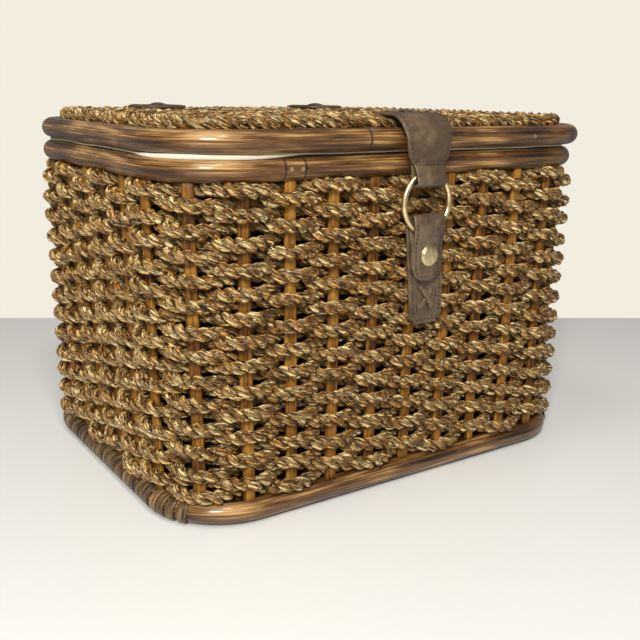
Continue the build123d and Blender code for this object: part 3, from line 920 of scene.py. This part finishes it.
class BASKET_PG_colours(bpy.types.PropertyGroup):
    """Colours of the basket's materials"""

    # Painted shade in the deep folds, together with the darkest grass
    rope_fold_painted_shade: colour_property("Rope folds", "Deep folds of the rope", (0.030, 0.009, 0.001))
    rope_mid: colour_property("Rope shade", "Darker grass", (0.310, 0.105, 0.008))
    rope_tan: colour_property("Rope", "Most of the grass", (0.760, 0.325, 0.046))
    # Pale dry grass, brightened into painted highlights on the ridges
    rope_pale_and_painted_highlight: colour_property("Rope ridges", "Dry pale grass", (1.000, 0.760, 0.330))
    # Painted shade in the cracks of the grass
    rope_crack_painted_shade: colour_property("Rope cracks", "Cracks in the grass", (0.014, 0.004, 0.001))
    # Painted shade between the strands, where the twist lies in shadow
    rope_hollow_painted_shade: colour_property("Rope hollows", "Between the strands", (0.008, 0.003, 0.001))
    stake_dark: colour_property("Stake shade", "Dark grain of the stakes", (0.065, 0.020, 0.002))
    stake_mid: colour_property("Stake", "Most of a stake", (0.250, 0.100, 0.010))
    stake_pale: colour_property("Stake light", "Light grain of the stakes", (0.470, 0.235, 0.036))
    pole_dark: colour_property("Pole dark", "Dark stain on the poles", (0.016, 0.005, 0.001))
    pole_mid: colour_property("Pole", "Most of a pole", (0.120, 0.046, 0.008))
    pole_honey: colour_property("Pole light", "Honey streaks on the poles", (0.500, 0.280, 0.090))
    pole_mark: colour_property("Pole marks", "Dark marks across the poles", (0.012, 0.006, 0.003))
    cane_mid: colour_property("Cane", "Most of the cane round the base", (0.105, 0.058, 0.018))
    cane_pale: colour_property("Cane light", "Light grain of the cane", (0.330, 0.205, 0.080))
    leather: colour_property("Leather", "Straps", (0.066, 0.041, 0.021))
    leather_rubbed: colour_property("Leather rubbed", "Rubbed places on the straps", (0.140, 0.094, 0.052))
    # Painted shade in the creases of the straps
    leather_crease_painted_shade: colour_property("Leather creases", "Deep creases of the straps", (0.030, 0.022, 0.018))
    thread: colour_property("Thread", "Seam thread", (0.070, 0.020, 0.010))
    thread_dark: colour_property("Thread shade", "Dark parts of the thread", (0.014, 0.004, 0.002))
    cloth: colour_property("Cloth", "Linings", (0.850, 0.780, 0.620))
    cloth_shade: colour_property("Cloth shade", "Creases of the linings", (0.700, 0.620, 0.470))
    # Painted shade: the lining's outside, painted near black as the shade in the gaps of the wall
    cloth_reverse_painted_shade: colour_property("Cloth reverse", "Back of the basket's lining", (0.010, 0.006, 0.003))
    brass: colour_property("Brass", "Ring, cap and nails", (0.900, 0.750, 0.450))
    brass_dark: colour_property("Brass worn", "Worn places on the brass", (0.680, 0.520, 0.260))


# Operators, one for each piece or group of like pieces

class BASKET_OT_finishes(bpy.types.Operator):
    """Make the materials and the geometry trees"""
    bl_idname = "basket.finishes"
    bl_label = "Materials"

    def execute(self, context):
        look = context.scene.basket_colours
        rope = rope_material(look)
        lid_path = rim_path(LID_SIZE, LID_CORNER, LID_Z, shift=LID_X)
        body_path = rim_path(RIM_SIZE, CORNER, RIM_Z)
        lid_pole = pole_material(look, "lid_pole", [along_at(lid_path, x) for x in LID_MARKS])
        body_pole = pole_material(look, "body_pole", [along_at(body_path, x) for x in BODY_MARKS])
        base_pole = pole_material(look, "base_pole", [])
        cane_material(look)
        stake_material(look)
        leather_material(look)
        cloth_material(look)
        brass_material(look)
        steel_material()
        slot_painted_shade_material()
        rope_tree(rope)
        for label, material in (("Lid pole", lid_pole), ("Body pole", body_pole), ("Base pole", base_pole)):
            pole_tree(label, material)
        stitch_tree(thread_material(look))
        return {"FINISHED"}


class BASKET_OT_poles(bpy.types.Operator):
    """Make the three bent rim poles"""
    bl_idname = "basket.poles"
    bl_label = "Rim poles"

    def execute(self, context):
        for name, tree, size, corner, height, shift, body in (
            ("lid_rim_pole", "Lid pole", LID_SIZE, LID_CORNER, LID_Z, LID_X, "lid"),
            ("body_rim_pole", "Body pole", RIM_SIZE, CORNER, RIM_Z, 0.0, "basket"),
            ("base_rim_pole", "Base pole", BASE_SIZE, CORNER, BASE_Z, 0.0, "basket"),
        ):
            obj = grown(name, [rim_path(size, corner, height, shift=shift)], True, bpy.data.node_groups[tree],
                        {"Radius": POLE, "Step": 0.004, "Sides": 32, "Unevenness": 0.07})
            show(obj, body, "rattan_pole", name.replace("_pole", ""))
        return {"FINISHED"}


class BASKET_OT_binding(bpy.types.Operator):
    """Wind the flat cane round the base rim on both short sides and partly round their corners"""
    bl_idname = "basket.binding"
    bl_label = "Cane binding"

    def execute(self, context):
        sizes = context.scene.basket_sizes
        clear = 0.12
        for side, start, seed in (("right", FRONT_STEPS, 5), ("left", STAKES - SIDE_STEPS, 4)):
            self.wound(side, start + clear, start + SIDE_STEPS - clear, seed, sizes)
        return {"FINISHED"}

    def wound(self, side, start, end, seed, sizes):
        """One strip of cane, wound between two places round the base."""
        rng = np.random.default_rng(seed)
        outline = around_at(np.linspace(start, end, 900), BASE_SIZE, CORNER)
        travel = travelled(np.column_stack(outline[:2]))
        length = travel[-1]
        turns = round(length / sizes.cane_pitch)
        count = turns * CANE_TURN_STEPS
        knots = np.arange(0, count + CANE_TURN_STEPS, CANE_TURN_STEPS // 2)
        jitter = np.interp(np.arange(count), knots, rng.uniform(-0.0009, 0.0009, len(knots)))
        sections, along, across = [], [], []
        half = sizes.cane_width / 2
        for i in range(count):
            place = length * i / (count - 1) + jitter[i]
            angle = 2 * math.pi * turns * i / (count - 1) - math.pi / 2
            section = []
            for reach, rise in CANE_SECTION:
                at = min(max(place + reach * half, 0), length)
                x, y, out_x, out_y = (float(np.interp(at, travel, values)) for values in outline)
                radius = min((POLE + BASE_Z) / 2 + rise * CANE_THICKNESS, BASE_Z)
                way = np.array([out_x, out_y, 0.0]) * math.cos(angle) + UP * math.sin(angle)
                section.append(np.array([x, y, BASE_Z]) + radius * way)
            sections.append(section)
            along += [turns * CANE_TURN * i / count] * len(section)
            across += list(np.arange(len(section)) / len(section))
        verts, faces = lofted(sections)
        layers = {"along": along, "around": across}
        obj = outward(mesh_object(f"cane_binding_{side}", verts, faces, finish("cane"), layers))
        show(obj, "basket", "cane", f"base_binding_{side}")


class BASKET_OT_stakes(bpy.types.Operator):
    """Make the flat stakes of the wall, the lid and the base"""
    bl_idname = "basket.stakes"
    bl_label = "Stakes"

    def execute(self, context):
        rng = np.random.default_rng(seed=3)
        low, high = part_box("wall_stakes")
        feet = np.column_stack(around_at(np.arange(STAKES), size_at(low[2]), CORNER))
        heads = np.column_stack(around_at(np.arange(STAKES), size_at(high[2]), CORNER))
        bars = []
        for foot, head in zip(feet, heads):
            out = np.array([*foot[2:], 0.0])
            bars.append((np.array([*foot[:2], low[2] + 0.0035]), np.array([*head[:2], high[2] - 0.001]), out))
        self.bars("wall_stake_bars", bars, "basket", "wall_stakes", rng)
        for name, node, size, corner, height, shift, body in (
            ("lid_stake_bars", "lid_stakes", LID_SIZE, LID_CORNER, LID_MAT_Z, LID_X, "lid"),
            ("base_stake_bars", "base_stakes", BASE_SIZE, CORNER, BASE_MAT_Z, 0.0, "basket"),
        ):
            step = front_step(size, corner)
            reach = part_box(node)[1][1] - 0.001
            bars = []
            for k in range(1 - FRONT_STEPS // 2, FRONT_STEPS // 2):
                shorter = max(abs(step * k) - (size[0] / 2 - corner), 0)
                end = reach - (corner - math.sqrt(corner ** 2 - shorter ** 2))
                x = shift + step * k
                bars.append((np.array([x, -end, height]), np.array([x, end, height]), UP))
            self.bars(name, bars, body, node, rng)
        return {"FINISHED"}

    def bars(self, name, bars, body, node, rng):
        """One mesh of flat bars with rounded edges, each with its own tone."""
        verts, faces, along, across, tones = [], [], [], [], []
        section = strap_section(STAKE_WIDTH, STAKE_THICKNESS, puff=0.0002, count=5)
        for foot, head, out in bars:
            way = (head - foot) / np.linalg.norm(head - foot)
            flat = np.cross(way, out)
            tone = rng.uniform()
            count = 24
            sections = []
            for i in range(count):
                share = i / (count - 1)
                wobble = 1 + 0.05 * math.sin(9 * share + 20 * tone)
                centre = foot + (head - foot) * share + flat * 0.0004 * math.sin(5 * share + 9 * tone)
                sections.append(centre + section[:, :1] * wobble * flat + section[:, 1:] * out)
                along += [share * float(np.linalg.norm(head - foot)) + tone] * len(section)
                across += list(np.arange(len(section)) / len(section))
                tones += [tone] * len(section)
            bar_verts, bar_faces = lofted(sections)
            start = len(verts)
            verts += list(bar_verts)
            faces += [tuple(start + i for i in face) for face in bar_faces]
        layers = {"along": along, "around": across, "tone": tones}
        obj = outward(mesh_object(name, verts, faces, finish("rattan_stake"), layers))
        show(obj, body, "rattan_stake", node)


class BASKET_OT_ropes(bpy.types.Operator):
    """Weave the rope rows of the wall, the base and the lid"""
    bl_idname = "basket.ropes"
    bl_label = "Rope weave"

    def execute(self, context):
        sizes = context.scene.basket_sizes
        rows = wall_rows(sizes)
        quarter = math.ceil(len(rows) / 4)
        for part, start in enumerate(range(0, len(rows), quarter)):
            obj = self.rope(f"wall_ropes_{part + 1}", rows[start:start + quarter], True, part, sizes)
            show(obj, "basket", "grass_rope", *(["wall_weave"] if part == 0 else []))
        base = mat_rows(BASE_SIZE, CORNER, BASE_MAT_Z + 0.0006, inset=0.0106, count=30, swing=0.0052)
        obj = self.rope("base_ropes", base, False, 5, sizes, step=0.0026, sides=6)
        show(obj, "basket", "grass_rope", "base_weave")
        border_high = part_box("lid_border_rope")[1]
        inset = LID_SIZE[1] / 2 - (border_high[1] - ROPE_REACH)
        lid = mat_rows(LID_SIZE, LID_CORNER, LID_MAT_Z, inset + 0.0042, 29, WALL_SWING, LID_X)
        obj = self.rope("lid_ropes", lid, False, 8, sizes, step=0.0020, sides=8)
        show(obj, "lid", "grass_rope", "lid_weave")
        border = rim_path(LID_SIZE, LID_CORNER, border_high[2] - ROPE_REACH, -inset, LID_X)
        obj = self.rope("lid_border_twist", [border], True, 9, sizes, step=0.0016)
        show(obj, "lid", "grass_rope", "lid_border_rope")
        return {"FINISHED"}

    def rope(self, name, paths, closed, seed, sizes, step=0.0017, sides=9):
        """Twisted rope along some paths."""
        return grown(name, paths, closed, bpy.data.node_groups["Twisted rope"], {
            "Strand Radius": sizes.rope_diameter * STRAND_SHARE,
            "Twist Radius": sizes.rope_diameter * TWIST_SHARE,
            "Lay": sizes.rope_lay, "Crumple": sizes.rope_crumple, "Step": step, "Sides": sides, "Seed": seed,
        })


class BASKET_OT_linings(bpy.types.Operator):
    """Make the cloth linings of the basket and of the lid"""
    bl_idname = "basket.linings"
    bl_label = "Linings"

    def execute(self, context):
        self.basket_lining()
        self.lid_lining()
        return {"FINISHED"}

    def rings(self, stops, name, wrinkle, seed):
        """Cloth through rings given as (size, corner, height, looseness), open at the last one."""
        fine = 6
        u = np.arange(STAKES * fine) / fine
        fold = smooth_random(np.random.default_rng(seed), STAKES, fine, wrinkle)
        sections = []
        for size, corner, height, loose in stops:
            x, y, nx, ny = around_at(u, size, corner)
            inward = fold * loose
            sections.append(np.column_stack([x + nx * inward, y + ny * inward, height + inward * 0.4]))
        verts, faces = lofted(sections)
        faces.pop()  # the cap over the mouth
        obj = mesh_object(name, verts, faces, finish("lining_cloth"))
        solid = obj.modifiers.new("Thickness", "SOLIDIFY")
        solid.thickness = 0.0006
        solid.offset = 0.0
        mesh = bpy.data.meshes.new_from_object(obj.evaluated_get(bpy.context.evaluated_depsgraph_get()))
        obj.modifiers.clear()
        obj.data = mesh
        mesh.shade_smooth()
        outward(obj)
        # The cloth's outward side below the body rim is marked for painted shade, as dark as the gaps of the
        # wall
        under_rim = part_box("body_rim")[0][2]
        painted_shade_side = [float(v.normal.x * v.co.x + v.normal.y * v.co.y > 0.02 and v.co.z < under_rim)
                     for v in mesh.vertices]
        mesh.attributes.new("reverse", "FLOAT", "POINT").data.foreach_set("value", painted_shade_side)
        return obj

    def basket_lining(self):
        """The cloth box inside the basket, from the middle of its floor up to the rim."""
        low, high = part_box("basket_lining")
        floor = low[2] + 0.0008
        inset, lip_insets, lip_drop = 0.0124, (0.0100, 0.0084), 0.0015
        stops = []
        for share in (0.02, 0.3, 0.6, 0.85, 0.97):
            size = tuple((side - 2 * inset) * share for side in BASE_SIZE)
            stops.append((size, (CORNER - inset) * share, floor, 0.0))
        for height in np.linspace(floor + 0.002, high[2] - 0.0028, 14):
            size = tuple(side - 2 * inset for side in size_at(height))
            stops.append((size, CORNER - inset, height, 1.0 if height < high[2] - 0.02 else 0.4))
        for inward in lip_insets:
            size = tuple(side - 2 * inward for side in RIM_SIZE)
            stops.append((size, CORNER - inward, high[2] - lip_drop, 0.0))
        obj = self.rings(stops, "basket_lining_cloth", 0.0009, 21)
        length, width = (side - 2 * inset for side in size_at((floor + high[2]) / 2))
        deep = high[2] - floor
        area = length * width + 2 * deep * (length + width) - 8 * deep * (CORNER - inset) * (1 - math.pi / 4)
        show(obj, "basket", "lining_cloth", "basket_lining")
        width + 2 * deep
        length + 2 * deep

    def lid_lining(self):
        """The flat cloth under the lid, with its hem."""
        height = middle("lid_lining")[2] + 0.0002
        stops = []
        for share in (0.02, 0.35, 0.7, 0.93):
            size = tuple(side * share for side in RIM_SIZE)
            stops.append((size, CORNER * share, height, 0.0))
        reach = 0.0012
        stops.append((tuple(side + 2 * reach for side in RIM_SIZE), CORNER + reach, height, 0.0))
        obj = self.rings(stops, "lid_lining_cloth", 0.0, 22)
        hem = self.hem(height, reach)
        show(hem, "lid", "lining_cloth")
        show(obj, "lid", "lining_cloth", "lid_lining")
        length, width = (side + 2 * reach for side in RIM_SIZE)
        area = length * width - (4 - math.pi) * (CORNER + reach) ** 2

    def hem(self, height, reach):
        """The rolled edge that shows between the rims: full at the left front corner, thin elsewhere.

        Places along it are counted in stakes from that corner.
        """
        rng = np.random.default_rng(seed=31)
        fine = 10
        u = np.arange(STAKES * fine) / fine
        x, y, nx, ny = around_at(u, RIM_SIZE, CORNER)
        fullest, full_reach, fade = 0.5, 0.9, 1.1
        near = np.minimum(np.abs(u - fullest), STAKES - np.abs(u - fullest))
        full = np.clip(1 - np.maximum(near - full_reach, 0) / fade, 0, 1)
        full = full * full * (3 - 2 * full)
        thin, more, flatness = 0.0004, 0.0013, 1.2
        radius = thin + more * full + np.abs(smooth_random(rng, STAKES, fine, 0.0003))
        offset = reach - 0.0002 + 0.0014 * full + smooth_random(rng, STAKES, fine, 0.0004)
        lift = height - 0.0006 * full + smooth_random(rng, STAKES, fine, 0.0004)
        sections = []
        for i in range(len(u)):
            out = np.array([nx[i], ny[i], 0.0])
            centre = np.array([x[i], y[i], lift[i]]) + out * offset[i]
            sections.append(ring_round(centre, out * radius[i] * flatness, UP * radius[i], 10))
        verts, faces = lofted(sections, closed=True)
        return outward(mesh_object("lid_lining_hem", verts, faces, finish("lining_cloth")))


class BASKET_OT_hinges(bpy.types.Operator):
    """Make the two leather hinge straps"""
    bl_idname = "basket.hinges"
    bl_label = "Hinge straps"

    def execute(self, context):
        for hand in ("left", "right"):
            self.hinge(hand, context.scene.basket_sizes)
        return {"FINISHED"}

    def hinge(self, hand, sizes):
        """One strap, up the back wall and forward onto the lid, with its seams and its two laces."""
        low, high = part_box(f"hinge_lower_{hand}")
        top_low, top_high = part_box(f"hinge_upper_{hand}")
        x, out, _ = middle(f"hinge_lower_{hand}")
        wide, thick = high[0] - low[0], high[1] - low[1]
        inset, zone = 0.0032, 0.006
        flat = top_high[2] - thick / 2
        path, places = strap_path([(out, low[2]), *bend(out, flat), (top_low[1], flat)],
                                  rounding=BEND_ROUNDING)
        width = round_ended(lambda place: wide, places[-1], 0.006)
        strip = Strip(path, places, x, 1, width, thick)
        obj = strip.leather(f"hinge_strap_{hand}", groove=inset)
        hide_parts(f"hinge_lower_{hand}", f"hinge_upper_{hand}")
        split = (high[2] + top_low[2]) / 2
        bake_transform(obj)
        share = (split - low[2]) / places[-1]
        for part, body, ends in (("lower", "basket", (0.02, share - 0.06)),
                                 ("upper", "lid", (share + 0.1, 0.98))):
            stitched(f"hinge_stitches_{part}_{hand}", strip.seam(inset, ends), body, sizes)
        lower, upper = f"hinge_lower_lace_{hand}", f"hinge_upper_lace_{hand}"
        laced(f"hinge_thong_lower_{hand}", (x, high[1], middle(lower)[2]), UP, BACK, "basket", lower)
        laced(f"hinge_thong_upper_{hand}", (x, middle(upper)[1], top_high[2]), BACK, UP, "lid", upper)


class BASKET_OT_front_strap(bpy.types.Operator):
    """Make the front strap: its tail on the lid, its wide tab and the loop that holds the ring"""
    bl_idname = "basket.front_strap"
    bl_label = "Front strap"

    def execute(self, context):
        sizes = context.scene.basket_sizes
        low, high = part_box("strap_tab")
        tail_low, tail_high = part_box("strap_tail")
        thick = high[1] - low[1]
        out = -middle("strap_tab")[1]
        flat = tail_high[2] - thick / 2
        path, places = strap_path([(-tail_high[1], flat), *bend(out, flat)[::-1], (out, low[2])],
                                  rounding=BEND_ROUNDING)
        total = places[-1]
        tail_width, tab_width = tail_high[0] - tail_low[0], 0.034
        full_at, taper_length = 0.002, 0.026
        inset, zone = 0.0030, 0.004

        def taper(place):
            share = (total - place - full_at) / taper_length
            return tab_width + (tail_width - tab_width) * min(max(share, 0), 1)

        width = round_ended(taper, total, 0.007)
        strip = Strip(path[::-1], places, CENTRE_X, -1, lambda place: width(total - place), thick)
        obj = strip.leather("front_strap", groove=inset)
        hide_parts("strap_tail", "strap_tab")
        turn = high[2] - thick / 2
        -out
        -out
        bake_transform(obj)
        split = (turn - low[2]) / total
        clear = 0.0024 / total
        stitched("tab_stitches", strip.seam(inset, (0.07, split - clear), across_end=inset), "tab", sizes)
        stitched("tail_stitches", strip.seam(inset, (split + clear, 0.97)), "lid", sizes)
        lace = (CENTRE_X, middle("strap_tail_lace")[1], tail_high[2])
        laced("tail_thong", lace, -BACK, UP, "lid", "strap_tail_lace")
        self.loop()
        return {"FINISHED"}

    def loop(self):
        """The narrow strap folded round the ring, both ends tucked behind the tab."""
        low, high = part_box("strap_loop")
        near = -high[1] + LEATHER / 2
        far = -low[1] - LEATHER / 2
        foot = low[2] + LEATHER / 2
        top = high[2] - 0.0005
        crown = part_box("closure_ring")[1][2]
        path, places = strap_path([
            (near + 0.0002, top), (near + 0.0002, crown + 0.0045), (near + 0.0012, crown + 0.0010),
            (near + 0.0012, foot + 0.0012), (near + 0.0030, foot), (far - 0.0022, foot),
            (far - 0.0002, foot + 0.0022), (far - 0.0006, crown - 0.0053), (far - 0.0026, crown + 0.0003),
            (near + 0.0024, crown + 0.0050), (near + 0.0019, top),
        ], step=0.0009, rounding=0.0016)
        wide = high[0] - low[0]
        strip = Strip(path, places, CENTRE_X, -1, lambda place: wide, LEATHER)
        show(strip.leather("ring_loop"), "tab", "leather", "strap_loop")


class BASKET_OT_closure(bpy.types.Operator):
    """Make the ring, the fob with its snap, and the strap under it"""
    bl_idname = "basket.closure"
    bl_label = "Ring, fob and latch strap"

    def execute(self, context):
        sizes = context.scene.basket_sizes
        self.ring()
        self.fob(sizes)
        self.latch(sizes)
        self.snap()
        self.small_metal()
        return {"FINISHED"}

    def ring(self):
        """The round wire ring."""
        low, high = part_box("closure_ring")
        wire = (high[1] - low[1]) / 2
        radius = (high[0] - low[0]) / 2 - wire
        centre = np.array([CENTRE_X, RING_Y, RING_Z])
        sections = []
        for turn in np.linspace(0, 2 * math.pi, 120, endpoint=False):
            out = ACROSS * math.cos(turn) + UP * math.sin(turn)
            sections.append(ring_round(centre + out * radius, out * wire, BACK * wire, 20))
        verts, faces = lofted(sections, closed=True)
        obj = outward(mesh_object("ring_wire", verts, faces, finish("brass")))
        show(obj, "ring", "brass", "closure_ring")

    def fob(self, sizes):
        """Leather folded over the ring's lower bar, with one seam round its front leaf."""
        low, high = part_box("snap_fob")
        bar = -RING_Y
        leaf = 0.0008
        spread = (high[1] - low[1]) / 2 - LEATHER / 2
        top = high[2] - LEATHER / 2
        neck = RING_Z - 0.0205
        path, places = strap_path([
            (bar - leaf, low[2] + 0.002), (bar - leaf, neck - 0.007), (bar - spread, neck),
            (bar - spread, top - 0.003), (bar - spread + 0.0016, top), (bar + spread - 0.0016, top),
            (bar + spread, top - 0.003), (bar + spread, neck), (bar + leaf, neck - 0.008),
            (bar + leaf, low[2]),
        ], step=0.0009, rounding=0.0024)
        total = places[-1]
        heights = path[:, 1]
        end_width, more_width, taper_height = 0.0250, 0.0028, 0.042
        inset = 0.0026

        def taper(place):
            z = np.interp(place, places, heights)
            return end_width + more_width * np.clip((z - low[2]) / taper_height, 0, 1)

        width = round_ended(taper, total, 0.0100)
        x = middle("snap_fob")[0]
        strip = Strip(path[::-1], places, x, -1, lambda place: width(total - place), LEATHER)
        show(strip.leather("fob_leather", groove=inset), "ring", "leather", "snap_fob")
        left, right = strip.seam(inset, (inset / total, 0.43))
        stitched("fob_stitches", [np.vstack([left[::-1], right])], "ring", sizes)

    def latch(self, sizes):
        """The lower strap on the front wall. It leans and widens upwards, with its corners cut off."""
        low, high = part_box("latch_strap")
        out = -middle("latch_strap")[1]
        path, places = strap_path([(out, low[2]), (out, high[2])], rounding=0.0012)
        total = places[-1]
        top_x, low_x, top_width, low_width = 0.0017, 0.0065, 0.0330, 0.0290
        inset, lace_lean = 0.0028, 0.06

        def lean(z):
            return low_x + (top_x - low_x) * (z - low[2]) / (high[2] - low[2])

        def width(place):
            wide = low_width + (top_width - low_width) * place / total
            return min(wide, low_width - 0.011 + place * 1.9, top_width - 0.003 + (total - place) * 2)

        strip = Strip(path, places, lean, -1, width, high[1] - low[1])
        show(strip.leather("latch_leather", groove=inset), "basket", "leather", "latch_strap")
        stitched("latch_stitches", strip.seam(inset, (0.04, 0.98), across_end=0.0030), "basket", sizes)
        lace_x, _, lace_z = middle("latch_lace")
        way = (UP + ACROSS * lace_lean) / math.hypot(lace_lean, 1)
        laced("latch_thong", (lace_x, low[1], lace_z), way, -BACK, "basket", "latch_lace",
              half=(0.0068, 0.0098), lift=0.0013)

    def snap(self):
        """The domed cap with its post, turned on a lathe as (radius, place) pairs."""
        low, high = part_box("snap_cap")
        x, _, z = middle("snap_cap")
        radius = (high[0] - low[0]) / 2
        face = low[1]
        post, dome = 0.0015, 0.0006
        curve = [(post, high[1] - 0.0002), (post, face + 0.0021), (radius - 0.0002, face + 0.0021),
                 (radius, face + 0.0017), (radius - 0.0001, face + 0.0013), (radius - 0.0005, face + 0.0010),
                 (radius - 0.0011, face + 0.0009), (radius - 0.0018, face + 0.0007)]
        curve += [(radius * math.sin(a), face + 0.0007 - dome * math.cos(a))
                  for a in np.linspace(1.0, 0.06, 9)]
        sections = [ring_round((x, y, z), ACROSS * r, UP * r, 56) for r, y in curve]
        verts, faces = lofted(sections)
        obj = outward(mesh_object("cap_dome", verts, faces, finish("brass")))
        show(obj, "ring", "brass", "snap_cap")

    def small_metal(self):
        """The finishes of the discs and the nails, whose CAD shapes are shown as they are."""
        for node, material in (("latch_keeper", "brass"), ("snap_magnet", "magnet"),
                               ("rim_tacks", "brass"), ("lid_tack", "brass")):
            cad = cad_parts[node]
            cad.data.materials.clear()
            cad.data.materials.append(finish(material))


class BASKET_OT_stage(bpy.types.Operator):
    """Make the table, the backdrop, the lights and the camera"""
    bl_idname = "basket.stage"
    bl_label = "Stage"

    def execute(self, context):
        heading = Vector((math.sin(YAW), math.cos(YAW), 0))
        across = Vector((math.cos(YAW), -math.sin(YAW), 0))
        self.table()
        self.world(context.scene)
        self.lights(heading, across)
        self.camera(context.scene, heading, across)
        context.scene.view_settings.view_transform = "Standard"
        return {"FINISHED"}

    def camera(self, scene, heading, across):
        """The camera at the photo's place."""
        forward = heading * math.cos(PITCH) + Vector((0, 0, -math.sin(PITCH)))
        up = across.cross(forward)
        right = across * math.cos(ROLL) + up * math.sin(ROLL)
        top = up * math.cos(ROLL) - across * math.sin(ROLL)
        data = bpy.data.cameras.new("camera")
        data.lens = FOCAL_PIXELS / PHOTO_PIXELS * SENSOR
        data.sensor_width = SENSOR
        data.clip_start = 0.01
        camera = bpy.data.objects.new("camera", data)
        bpy.context.collection.objects.link(camera)
        turn = Matrix((right, top, -forward)).transposed()
        camera.matrix_world = Matrix.Translation(CAMERA_PLACE) @ turn.to_4x4()
        scene.camera = camera

    def table(self):
        """A pale table top whose far edge is where the photo shows it."""
        g = fresh("table")
        soft = g.noise(g.scaled(g.place(), 3.0), 2.0, 0.5)
        colour = g.mixed(soft, (0.73, 0.72, 0.67), (0.77, 0.76, 0.71))
        material = surface(g, colour, 0.34)
        left, right = Vector(FAR_LEFT), Vector(FAR_RIGHT)
        reach = 4
        edge = (right - left).normalized() * reach
        near = edge.cross(Vector((0, 0, 1)))
        corners = [left - edge + near, right + edge + near, right + edge, left - edge]
        table = mesh_object("table", corners, [(0, 1, 2, 3)], material)

    def world(self, scene):
        """Soft light from all round, and a cream wall behind for the camera."""
        world = bpy.data.worlds.new("world")
        world.use_nodes = True
        world.node_tree.nodes.clear()
        g = Graph(world.node_tree)
        light = g.node("ShaderNodeBackground", None, {"Color": (1.0, 0.97, 0.93, 1.0), "Strength": 0.23})
        wall = g.node("ShaderNodeBackground", None, {"Color": (0.885, 0.845, 0.735, 1.0), "Strength": 1.0})
        seen = g.node("ShaderNodeLightPath", out="Is Camera Ray")
        mix = g.node("ShaderNodeMixShader", None, {0: seen, 1: light, 2: wall})
        output = world.node_tree.nodes.new("ShaderNodeOutputWorld")
        world.node_tree.links.new(mix.socket, output.inputs["Surface"])
        scene.world = world

    def lights(self, heading, across):
        """A soft light above, a strong one behind the camera, and a small one for the highlights."""
        for name, place, power, size in (
            ("top", -heading * 0.40 - across * 0.40 + Vector((0, 0, 1.90)), 4.5, 0.45),
            ("front", -heading * 1.65 - across * 0.15 + Vector((0, 0, 1.15)), 38.5, 0.45),
            ("shine", -heading * 0.95 + across * 0.15 + Vector((0, 0, 1.42)), 7.5, 0.20),
        ):
            data = bpy.data.lights.new(name, "AREA")
            data.energy = power
            data.size = size
            light = bpy.data.objects.new(name, data)
            light.location = place
            aim = Vector((0, 0, 0.13)) - place
            light.rotation_euler = aim.to_track_quat("-Z", "Y").to_euler()
            bpy.context.collection.objects.link(light)


OPERATORS = (
    BASKET_OT_finishes, BASKET_OT_poles, BASKET_OT_binding, BASKET_OT_stakes, BASKET_OT_ropes,
    BASKET_OT_linings, BASKET_OT_hinges, BASKET_OT_front_strap, BASKET_OT_closure, BASKET_OT_stage,
)


class BASKET_PT_panel(bpy.types.Panel):
    """The basket's pieces, sizes and colours"""
    bl_idname = "BASKET_PT_panel"
    bl_label = "Lidded Basket"
    bl_space_type = "VIEW_3D"
    bl_region_type = "UI"
    bl_category = "Basket"

    def draw(self, context):
        for operator in OPERATORS:
            self.layout.operator(operator.bl_idname)
        for group in (context.scene.basket_sizes, context.scene.basket_colours):
            for key in group.bl_rna.properties.keys():
                if key not in ("rna_type", "name"):
                    self.layout.prop(group, key)


CLASSES = (BASKET_PG_sizes, BASKET_PG_colours, *OPERATORS, BASKET_PT_panel)


def register():
    for cls in CLASSES:
        bpy.utils.register_class(cls)
    bpy.types.Scene.basket_sizes = PointerProperty(type=BASKET_PG_sizes)
    bpy.types.Scene.basket_colours = PointerProperty(type=BASKET_PG_colours)


def unregister():
    del bpy.types.Scene.basket_colours
    del bpy.types.Scene.basket_sizes
    for cls in reversed(CLASSES):
        bpy.utils.unregister_class(cls)


def main():
    """Builds every piece in order."""
    register()
    for operator in OPERATORS:
        family, action = operator.bl_idname.split(".")
        getattr(getattr(bpy.ops, family), action)()


if __name__ == "__main__":
    main()
